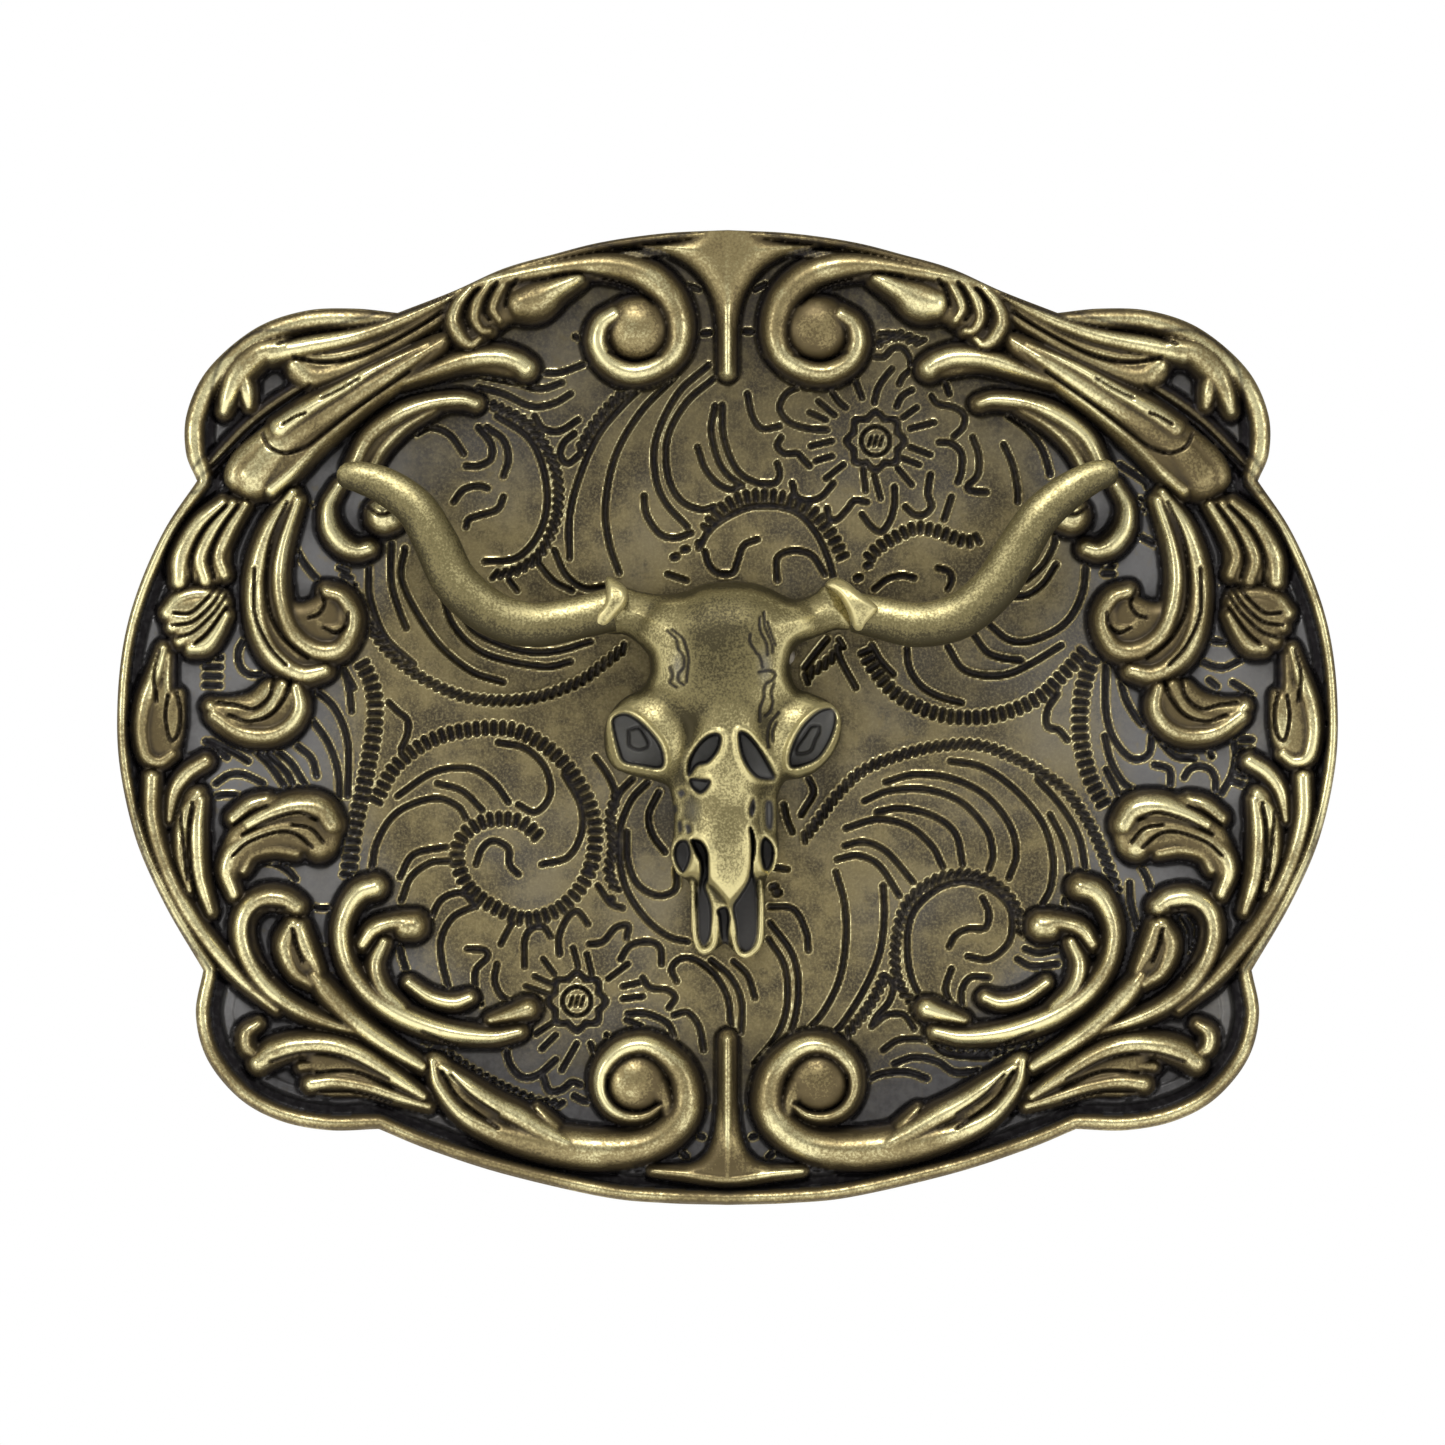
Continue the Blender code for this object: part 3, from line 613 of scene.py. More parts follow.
STEP = 0.125
PARTING = 1.2
EDGE_INSET = 0.12

# Heights over the flat back.
FIELD = 2.6
GROUND = 2.45
RIM_TOP = 3.9
RIM_FOOT = 2.9

# The engraved field is a disc; beyond it lies the dull grey ground of the border.
FIELD_RADIUS = 31.0

# Rim: its groove, the step inside its lower part and the flat band inside its upper part.
GROOVE_WIDTH = 0.95
GROOVE_DEPTH = 0.4
STEP_RISE = 0.3
STEP_WIDTH = 1.0
BAND_RISE = 0.8
BAND_WIDTH = 1.25

# Border: how ridges are widened, the skirt under them, the leaves' bodies and their folds, and
# the moat sunk round them.
RIDGE_SWELL = 0.18
SKIRT_SWELL = 0.50
SKIRT_SHARE = 0.45
BODY_SHOULDER = 1.3
BODY_RUB = 0.84
BODY_RUB_SHOULDER = 1.0
LOWEST_RISE = 0.05
FOLD_HALF = 0.13
FOLD_DEPTH = 0.42
MOAT_DEPTH = 0.25

# Engraving: the plain lines, the lips thrown up beside every cut, and the short cuts.
LINE_HALF = 0.22
LINE_DEPTH = 0.42
LIP_REACH = 0.36
LIP_RISE = 0.12
CORD_PITCH = 0.66
CORD_SLANT = 0.9
CORD_HALF_LENGTH = 0.36
CORD_HALF = 0.19
RUNG_PITCH = 0.70
RUNG_HALF = 0.23
PETAL_HALF = 0.2
DOT_HALF_LENGTH = 0.12
DOT_HALF = 0.28

# Wear: that of bare ground, and what each kind of crest adds to it.  The lips of the cuts get
# # rub and a painted highlight, and the rim's left and right sides a painted highlight.
GROUND_WEAR = 0.34
CREST_WEAR = 0.22
SWELL_WEAR = 0.18
CREASE_WEAR = 0.28
BAND_WEAR = 0.12
LIP_WEAR_AND_HIGHLIGHT = 1.05
RIM_WEAR = 0.80
RIM_EDGE_LOSS = 0.26
RIM_SIDE_HIGHLIGHT = 0.22
RIM_TOP_LOSS = 0.30

# How black each kind of hollow is: patina in the cuts and folds, patina and painted shadow in
# # the moat, painted shade in creases and on crowded ground, and a darker ground at the top and
# # the bottom.
MOAT_PATINA_AND_SHADOW = 0.92
FOLD_SOOT = 0.9
CREASE_SHADE = 0.72
CROWDED_SHADE = 0.55
UPPER_DARKENING = 0.42
TOP_MIDDLE_DARKENING = 0.62
LOW_MIDDLE_DARKENING = 0.60

# Half of the outline, as smooth stretches that meet in the notches between the lobes.
OUTLINE = [
    [(0, 39.15), (-5, 38.9), (-10, 38.2), (-14, 37.2), (-18, 36.05), (-22, 34.25), (-26.5, 32.5)],
    [(-26.5, 32.5), (-30, 32.85), (-34, 32.65), (-38, 31.2), (-41.7, 28), (-43.4, 24.5), (-43.5, 21.3),
     (-42.6, 19)],
    [(-42.6, 19), (-45.2, 15.1), (-47.3, 10.4), (-48.5, 6), (-49, 1), (-48.8, -4), (-47.5, -9.8),
     (-45.2, -15), (-42.1, -20.3)],
    [(-42.1, -20.3), (-42.7, -23.8), (-41.8, -27.4), (-39.2, -30.6), (-35.9, -32.4), (-32, -33.15),
     (-28, -33.05)],
    [(-28, -33.05), (-24, -34.7), (-18, -36.65), (-10, -38.5), (-5, -39.0), (0, -39.15)],
]

# Border scrolls of the left half: the rise of each crest over the ground, and the ridge as
# (x, z, half width).
BORDER = [
    # edge of the main oval where it runs behind the upper lobe
    (0.9, [(-42.8, 18.8, 0.15), (-40.5, 21.5, 0.2), (-38, 24, 0.2), (-35, 26.1, 0.2),
           (-32.6, 27.3, 0.15)]),
    # top middle: volute, its long arm, bulb and fingers
    (1.9, [(-21.5, 34.2, 0.35), (-18, 35.2, 0.6), (-13, 36.1, 0.8), (-9.5, 36.3, 0.95),
           (-6.6, 35.5, 1.05), (-4.7, 33.8, 1.05), (-3.9, 31.5, 1.0), (-4.3, 29.3, 0.85),
           (-6.0, 28.0, 0.8), (-7.9, 27.7, 0.8), (-9.6, 28.5, 0.75), (-10.4, 30, 0.75),
           (-10.1, 31.5, 0.7), (-9.1, 32.3, 0.6)]),
    (2.0, [(-7.1, 31.2, 2.45), (-7.3, 31.2, 2.45)]),
    (0.9, [(-9.4, 29.9, 0.15), (-8.4, 29.0, 0.2), (-6.9, 28.9, 0.2), (-5.6, 29.6, 0.15)]),
    (2.4, [(-16.6, 33.2, 1.2), (-15.4, 33.5, 1.5), (-13.9, 34.3, 0.95), (-12.0, 35.2, 0.5)]),
    (2.2, [(-17.7, 35.2, 0.35), (-18.4, 34.0, 0.45), (-18.8, 32.8, 0.45), (-18.3, 31.9, 0.3)]),
    (2.3, [(-19.1, 34.9, 0.35), (-20.0, 33.5, 0.5), (-20.3, 32.1, 0.5), (-19.8, 31.1, 0.4),
           (-19.1, 31.0, 0.25)]),
    (2.4, [(-20.6, 34.4, 0.35), (-21.6, 33.2, 0.5), (-22.0, 31.8, 0.6), (-21.5, 30.6, 0.6),
           (-20.6, 29.9, 0.45), (-19.9, 30.4, 0.25)]),
    (1.1, [(-24.5, 32.6, 0.3), (-22.5, 33.4, 0.4), (-20.5, 34.6, 0.4)]),
    # tab leaf
    (2.0, [(-20.5, 34.7, 0.3), (-23, 33.4, 0.45), (-26, 31.9, 0.6), (-30, 30.5, 0.7), (-34, 29.7, 0.8),
           (-36.6, 29.2, 0.8)]),
    (1.7, [(-21, 33.9, 0.3), (-24, 32.2, 0.4), (-27.5, 30.2, 0.45), (-31, 29.1, 0.45),
           (-33.6, 28.9, 0.4)]),
    (1.5, [(-22.2, 32.6, 0.3), (-24.5, 31.2, 0.5), (-28, 29.1, 0.75), (-31.5, 27.6, 0.9),
           (-33.4, 27.4, 1.05), (-34.6, 28.3, 0.8)]),
    (2.0, [(-35.6, 29.7, 0.8), (-37.6, 29.2, 1.05), (-39.1, 27.8, 1.1), (-39.9, 26.2, 0.8),
           (-40.4, 24.6, 0.4)]),
    (1.7, [(-38.9, 27.3, 0.7), (-38.6, 26.0, 0.6), (-38.4, 25.0, 0.3)]),
    # club leaf
    (2.5, [(-22.8, 30.2, 0.3), (-26, 28.2, 0.75), (-29.5, 26.0, 1.15), (-33, 23.8, 1.4),
           (-36.0, 21.7, 1.55), (-38.0, 19.4, 1.85)]),
    (2.9, [(-24, 29.9, 0.25), (-28, 28.0, 0.45), (-31, 26.2, 0.65), (-34, 24.4, 0.85),
           (-35.8, 23.1, 0.95)]),
    (2.3, [(-25.5, 27.9, 0.25), (-29.5, 24.7, 0.45), (-32.7, 22.0, 0.5), (-35.0, 19.7, 0.6),
           (-36.6, 18.3, 0.6)]),
    # finger, arc leaf with its fan
    (2.0, [(-26.2, 26.9, 0.35), (-24, 27.7, 0.55), (-21, 28.7, 0.75), (-18.5, 28.9, 0.8),
           (-17, 28.5, 0.8), (-16.2, 28.0, 0.75)]),
    (2.0, [(-30, 20.1, 0.55), (-28.7, 22.5, 0.65), (-26.5, 24.2, 0.65), (-24, 25.2, 0.5),
           (-21.5, 25.5, 0.4), (-20.2, 25.2, 0.35)]),
    (1.6, [(-28.6, 20.1, 0.35), (-27.6, 21.8, 0.4), (-25.8, 23.5, 0.35), (-23.5, 24.8, 0.25)]),
    (1.8, [(-29.4, 20.1, 0.3), (-28.0, 22.2, 0.35), (-26.2, 23.9, 0.3)]),
    # bead and small hook under the horn
    (1.7, [(-31.2, 18.6, 0.3), (-32, 17, 0.45), (-31.9, 15.3, 0.65), (-31.0, 14.0, 0.7),
           (-29.8, 13.4, 0.6), (-28.8, 13.6, 0.5)]),
    (2.0, [(-27.2, 16.3, 1.25), (-27.6, 16.2, 1.3)]),
    # side feathers
    (1.7, [(-40.5, 17.2, 0.4), (-42.5, 15.4, 0.65), (-43.8, 13, 0.75), (-44.0, 10.9, 0.6)]),
    (1.8, [(-39.7, 17.1, 0.4), (-41.3, 15, 0.55), (-42.3, 12.8, 0.6), (-41.9, 11.0, 0.5)]),
    (1.7, [(-38.7, 17.1, 0.35), (-40.0, 15, 0.5), (-40.8, 13, 0.55), (-40.4, 11.5, 0.45)]),
    # shell
    (1.5, [(-44.9, 8.4, 0.55), (-43.9, 9.5, 0.6), (-42.3, 9.9, 0.55), (-40.7, 9.6, 0.5)]),
    (1.6, [(-44.5, 7.3, 0.5), (-42.8, 8.4, 0.5), (-41.2, 9.6, 0.45)]),
    (1.7, [(-43.9, 6.2, 0.5), (-42.1, 7.4, 0.5), (-40.5, 9.2, 0.45)]),
    (1.9, [(-43.0, 5.6, 0.5), (-41.9, 5.8, 0.6), (-41.0, 6.9, 0.5), (-40.3, 8.2, 0.4)]),
    # stem with its curl
    (2.0, [(-34.9, 18, 0.4), (-36.8, 15, 0.65), (-37.8, 11.5, 0.8), (-37.7, 8, 0.85),
           (-36.8, 5.5, 0.85), (-35.4, 4.1, 0.8), (-34, 3.5, 0.75), (-32.4, 3.8, 0.55)]),
    (2.1, [(-34.5, 17.4, 0.35), (-35.6, 14, 0.5), (-36.0, 11.3, 0.6), (-35.7, 8.8, 0.65),
           (-34.7, 6.6, 0.75), (-33.0, 5.4, 0.85), (-31.3, 5.5, 0.75), (-30.3, 6.7, 0.65),
           (-30.1, 8.2, 0.65), (-30.9, 9.6, 0.6), (-32.2, 10.1, 0.5)]),
    (1.6, [(-31.7, 9.9, 0.35), (-30.9, 8.7, 0.5), (-31.0, 7.4, 0.55), (-32.2, 7.1, 0.55),
           (-33.1, 7.9, 0.4)]),
    (1.8, [(-36.9, 12.5, 0.3), (-37.0, 9, 0.35), (-36.1, 6.5, 0.35), (-34.5, 4.9, 0.35)]),
    # ribbon on the edge
    (1.6, [(-45.3, 5.5, 0.35), (-45.9, 3.5, 0.55), (-46.7, 1.2, 0.65), (-47.0, -1, 0.6),
           (-46.6, -3, 0.55), (-45.6, -3.5, 0.45), (-44.6, -2.9, 0.35)]),
    (1.2, [(-45.0, 5.0, 0.3), (-45.1, 2.4, 0.4), (-44.6, 0, 0.5), (-44.6, -2.2, 0.4)]),
    # hook leaf
    (1.9, [(-34.6, 2.4, 0.5), (-34.4, 0.7, 0.6), (-35.3, -0.7, 0.65), (-37, -1.4, 0.7),
           (-39.2, -1.1, 0.65), (-41.2, 0.2, 0.5)]),
    (1.7, [(-35.7, 2.6, 0.5), (-36.9, 0.6, 0.65), (-38.8, -0.3, 0.6), (-40.6, 0.1, 0.5),
           (-41.5, 0.9, 0.4)]),
    (1.3, [(-37.0, 2.0, 0.4), (-38.4, 0.9, 0.45), (-39.9, 0.7, 0.4)]),
    # outer stem, small leaf and feather
    (1.6, [(-46.2, -4.8, 0.55), (-46.2, -8, 0.6), (-45.3, -11.5, 0.6), (-43.7, -15, 0.6),
           (-41.5, -18.2, 0.6), (-39, -21, 0.5), (-36.2, -23.4, 0.3)]),
    (1.3, [(-41.9, -3.5, 0.45), (-43.4, -4.5, 0.5), (-44.4, -6, 0.45), (-44.8, -8.2, 0.25)]),
    (1.6, [(-42.5, -6.1, 0.35), (-43.5, -8, 0.6), (-43.8, -11, 0.55), (-43.2, -13.8, 0.3)]),
    (1.7, [(-42.3, -6.6, 0.35), (-42.6, -9, 0.6), (-42.4, -12.5, 0.55), (-41.5, -15.6, 0.3)]),
    # big leaf
    (1.8, [(-39.6, -14.2, 0.4), (-40.2, -12.3, 0.6), (-39.5, -10.7, 0.8), (-38, -9.6, 0.95),
           (-35.6, -8.9, 1.1), (-33.7, -9.1, 1.1), (-32.8, -10.2, 1.15)]),
    (2.3, [(-38.4, -8.6, 0.5), (-36.5, -7.7, 0.8), (-34.5, -7.2, 1.0), (-32.7, -7.4, 0.95),
           (-31.8, -8.6, 0.8)]),
    (1.5, [(-38.9, -12.2, 0.35), (-38.2, -11, 0.45), (-36.5, -10.5, 0.5), (-34.6, -10.8, 0.4)]),
    (1.4, [(-39.6, -8.1, 0.5), (-38.3, -7.1, 0.55), (-37.0, -6.6, 0.35)]),
    # side scroll and bud
    (1.9, [(-34.6, -15.2, 0.65), (-35.6, -14.6, 0.75), (-37.1, -14.5, 0.75), (-38.5, -15.4, 0.75),
           (-39.0, -17.2, 0.7), (-38.4, -19.5, 0.7), (-37.0, -21.6, 0.65), (-34.9, -23.2, 0.55),
           (-32.3, -24.4, 0.45), (-29, -25.4, 0.25)]),
    (1.9, [(-34.8, -16.6, 0.6), (-35.5, -18.3, 0.75), (-34.8, -20.3, 0.55), (-33.4, -21.3, 0.4)]),
    (1.9, [(-34.4, -16.8, 0.6), (-33.9, -18.4, 0.7), (-33.1, -20.0, 0.45), (-32.7, -21.2, 0.3)]),
    (1.9, [(-33.2, -20.7, 0.5), (-32.0, -22.2, 0.75), (-30, -24.3, 0.75), (-27.5, -26.2, 0.65),
           (-24.5, -28, 0.4)]),
    # inner scrolls that reach into the field
    (2.1, [(-28.3, -13.6, 0.75), (-29.6, -14.1, 0.75), (-30.6, -15.6, 0.65), (-31, -17.5, 0.6),
           (-30.4, -20, 0.6), (-28.7, -22.2, 0.7), (-26, -24, 0.75), (-22.5, -25.2, 0.65),
           (-19, -25.6, 0.5), (-16.7, -25.2, 0.35)]),
    (1.7, [(-19.0, -24.3, 0.25), (-17.2, -23.8, 0.5), (-16.0, -23.4, 0.65)]),
    (2.0, [(-25.2, -16.7, 0.95), (-25.8, -16.7, 0.95)]),
    (1.9, [(-25.6, -16.5, 0.7), (-27.0, -16.5, 0.5), (-28.4, -17.0, 0.55), (-29.3, -18.2, 0.4)]),
    (1.9, [(-27.6, -18.0, 0.35), (-28.3, -19.8, 0.5), (-27.8, -21.8, 0.6), (-26.2, -23.4, 0.5)]),
    (1.5, [(-25.6, -21.3, 0.3), (-23.8, -22.5, 0.4), (-22.0, -22.9, 0.45), (-20.7, -22.5, 0.35)]),
    # corner leaf
    (1.7, [(-37.7, -24.6, 0.3), (-38.6, -25.3, 0.5), (-38.6, -26.4, 0.5), (-37.9, -27.0, 0.4)]),
    (2.1, [(-37.6, -27.7, 0.75), (-36.3, -26.8, 0.9), (-34.3, -26.3, 0.85), (-31.8, -26.3, 0.8),
           (-29.3, -27.2, 0.75), (-26.8, -28.8, 0.6), (-24.4, -30.4, 0.3)]),
    (1.7, [(-33.4, -29.4, 0.6), (-31.5, -29.2, 0.55), (-29, -29.6, 0.5), (-26.5, -30.4, 0.45),
           (-24, -31.2, 0.25)]),
    (1.3, [(-34.2, -28.0, 0.35), (-31.5, -27.9, 0.5), (-28.8, -28.9, 0.4)]),
    # bottom scroll and volute
    (2.2, [(-23.7, -27.5, 0.25), (-23.2, -29.5, 0.45), (-21.2, -31.9, 0.6), (-18.2, -33.3, 0.95),
           (-14.4, -34.2, 1.35), (-10.5, -34.7, 1.4), (-7, -34.4, 1.2), (-4.7, -33.2, 1.2),
           (-3.4, -31.3, 1.15), (-3.6, -28.9, 1.0), (-4.9, -27.2, 0.85), (-6.6, -26.3, 0.75),
           (-8.4, -26.6, 0.7), (-9.8, -27.9, 0.6), (-10.2, -29.6, 0.5), (-9.5, -31.2, 0.45),
           (-8.1, -32.0, 0.4), (-6.5, -31.9, 0.35), (-5.3, -31.1, 0.25)]),
    (2.3, [(-23.0, -28.0, 0.3), (-21.2, -29.3, 0.55), (-18.9, -30.9, 0.75), (-16.6, -32.2, 0.9),
           (-14.6, -33.4, 0.9), (-12.8, -34.2, 0.6)]),
    (1.7, [(-13.9, -33.0, 0.5), (-14.6, -32.2, 0.35), (-15.3, -31.4, 0.15)]),
    (1.7, [(-21.3, -30.4, 0.25), (-19.8, -31.5, 0.4), (-18.0, -32.5, 0.4)]),
    (2.1, [(-7.3, -29.2, 2.45), (-7.4, -29.25, 2.45)]),
    (1.7, [(-5.6, -29.6, 0.9), (-4.9, -31.0, 0.6), (-4.7, -32.3, 0.4)]),
]

# Filled leaf shapes of the left half, under the ridges: rise and closed outline.
BODIES = [
    (1.3, [(-20.5, 34.9), (-24, 33.3), (-27.5, 32), (-31, 31), (-34.5, 30.3), (-37, 29.9),
           (-38.9, 28.9), (-40.4, 27), (-40.9, 24.4), (-40.2, 23.9), (-39.5, 25.4), (-38.9, 25.3),
           (-38.4, 24.5), (-37.8, 25.8), (-38.2, 27.4), (-37.5, 28.5), (-36.5, 28.9), (-35.7, 28.2),
           (-35.3, 27.2), (-34.4, 26.4), (-33, 26.2), (-30.5, 27.8), (-26.5, 30), (-22.5, 32.2)]),
    (2.0, [(-22.5, 31), (-26, 29.9), (-30, 28), (-34, 25.9), (-36.5, 24), (-39.5, 21.5), (-40.5, 19.5),
           (-40, 18.3), (-38.5, 17.7), (-36.5, 17.8), (-34.5, 19.2), (-32, 21.3), (-29.5, 23.6),
           (-26, 26.3), (-22.5, 29.2)]),
    (1.4, [(-22.3, 31), (-21.8, 33.5), (-20, 35), (-17, 35.7), (-13.5, 36), (-11, 36.3), (-11.5, 35),
           (-13, 33.5), (-14.3, 32.1), (-16.5, 31.9), (-18, 31.3), (-18.9, 31), (-19.7, 29.8),
           (-21, 29.4)]),
    (1.3, [(-27, 26.4), (-24, 26.8), (-20.5, 27.6), (-16.6, 27.2), (-15.6, 28.2), (-17, 29.5),
           (-20, 29.8), (-23.5, 29.1), (-26.5, 28)]),
    (1.2, [(-41, 17.5), (-38.3, 17.5), (-39.5, 14.5), (-40, 11.3), (-41.5, 10.5), (-43.3, 10.6),
           (-44.8, 11), (-44.4, 14), (-42.8, 16.2)]),
    (1.5, [(-45.2, 9.3), (-43.3, 10.3), (-40.8, 10.1), (-39.9, 9.6), (-40.1, 7.7), (-40.9, 6.2),
           (-42.2, 5), (-43.4, 5), (-44.6, 6.6), (-45.4, 8)]),
    (1.3, [(-35.3, 18.2), (-37, 15.5), (-38.4, 11.5), (-38.2, 7.5), (-36.8, 4.8), (-34.8, 3.3),
           (-32.5, 3.3), (-31.5, 4.4), (-29.9, 6), (-29.5, 8.3), (-30.3, 10.2), (-32, 10.8), (-33, 9.8),
           (-34.7, 9.4), (-35.2, 12), (-34.3, 15.2), (-34, 18)]),
    (1.1, [(-45.8, 5.3), (-46.6, 3), (-47.4, 0.8), (-47.5, -1.2), (-47, -2.9), (-46, -3.7),
           (-44.6, -3.3), (-43.7, -2), (-43.4, 0.5), (-43.6, 2.3), (-44.8, 2.6), (-45, 5.3)]),
    (1.4, [(-36.9, 3.2), (-35.3, 3), (-34, 2.7), (-33.6, 1.3), (-34.3, -0.7), (-36, -1.8),
           (-38.5, -2.2), (-40.3, -1.7), (-41.7, -0.6), (-42, 0.7), (-41.3, 1.6), (-39.9, 1.7),
           (-38.3, 2.1)]),
    (1.3, [(-43.6, -6), (-42.6, -5.4), (-41.9, -6.4), (-41.8, -9), (-41.5, -12), (-41, -15.5),
           (-42, -15), (-43.6, -12.5), (-44.2, -10), (-44.1, -7.8)]),
    (1.6, [(-40, -14.5), (-40.9, -12.5), (-40.3, -9.5), (-38.8, -7.6), (-37.2, -6.3), (-36, -6.2),
           (-35.2, -6.6), (-33.5, -6.2), (-32, -6.6), (-31.1, -7.7), (-30.9, -9.3), (-31.4, -10.8),
           (-32.4, -11.4), (-34, -11), (-36, -10.7), (-38, -11.3), (-39.1, -12.7), (-39.2, -14)]),
    (1.5, [(-34.7, -16), (-33.6, -16.8), (-33, -18.5), (-32.4, -20), (-33.3, -21), (-34.8, -20.6),
           (-35.9, -19), (-36, -17.4)]),
    (1.5, [(-24, -27), (-23.8, -29), (-23, -31), (-21, -32.6), (-18, -34.2), (-15, -35.5), (-11, -36.2),
           (-7.5, -36.1), (-6, -34), (-9.5, -33.2), (-13, -32.8), (-14.5, -31.8), (-16, -31.5),
           (-18.5, -30), (-21, -28.5), (-23, -26.9)]),
    (1.2, [(-38, -27.6), (-36.6, -26), (-34, -25.2), (-31, -25.3), (-28.5, -26.3), (-26, -28),
           (-24, -30.3), (-23.8, -31.3), (-26.5, -31), (-29.5, -30.6), (-32, -30.5), (-33.7, -29.9),
           (-33.6, -28.8), (-34, -27.6), (-35.5, -27.5), (-37, -28.5)]),
]

# Shapes on the buckle's upright centre line: two bodies, each with its rise, the width of its
# rounded shoulder and the left half of its outline, and the crests on them.
SPIKE_BODIES = [
    (1.7, 1.7, [(0, 41), (-2.4, 41), (-2.5, 39.2), (-4.6, 38.3), (-8.0, 37.9), (-6.6, 37.6), (-4.8, 37.1),
                (-2.9, 36.0), (-1.5, 34.1), (-0.9, 31.9), (-0.6, 29.2), (-0.4, 27.6), (0, 27.1)]),
    (1.5, 1.3, [(0, -25.2), (-0.4, -25.6), (-0.6, -27.5), (-0.8, -30), (-1.0, -32.5), (-1.4, -34.3),
                (-2.2, -35.4), (-3.6, -35.9), (-6.6, -36.3), (-4.5, -36.8), (-2.4, -37.2), (0, -37.7)]),
]
SPIKES = [
    (2.0, [(0, 38, 0.1), (0, 36, 0.25), (0, 34, 0.35), (0, 32, 0.38), (0, 30, 0.35), (0, 27.7, 0.32)]),
    (2.2, [(0, -37.0, 0.3), (0, -34, 0.32), (0, -31, 0.36), (0, -28, 0.36), (0, -25.8, 0.32)]),
    (1.9, [(-6.0, -36.4, 0.15), (-3.5, -36.6, 0.3), (0, -37.0, 0.4), (3.5, -36.6, 0.3),
           (6.0, -36.4, 0.15)]),
]

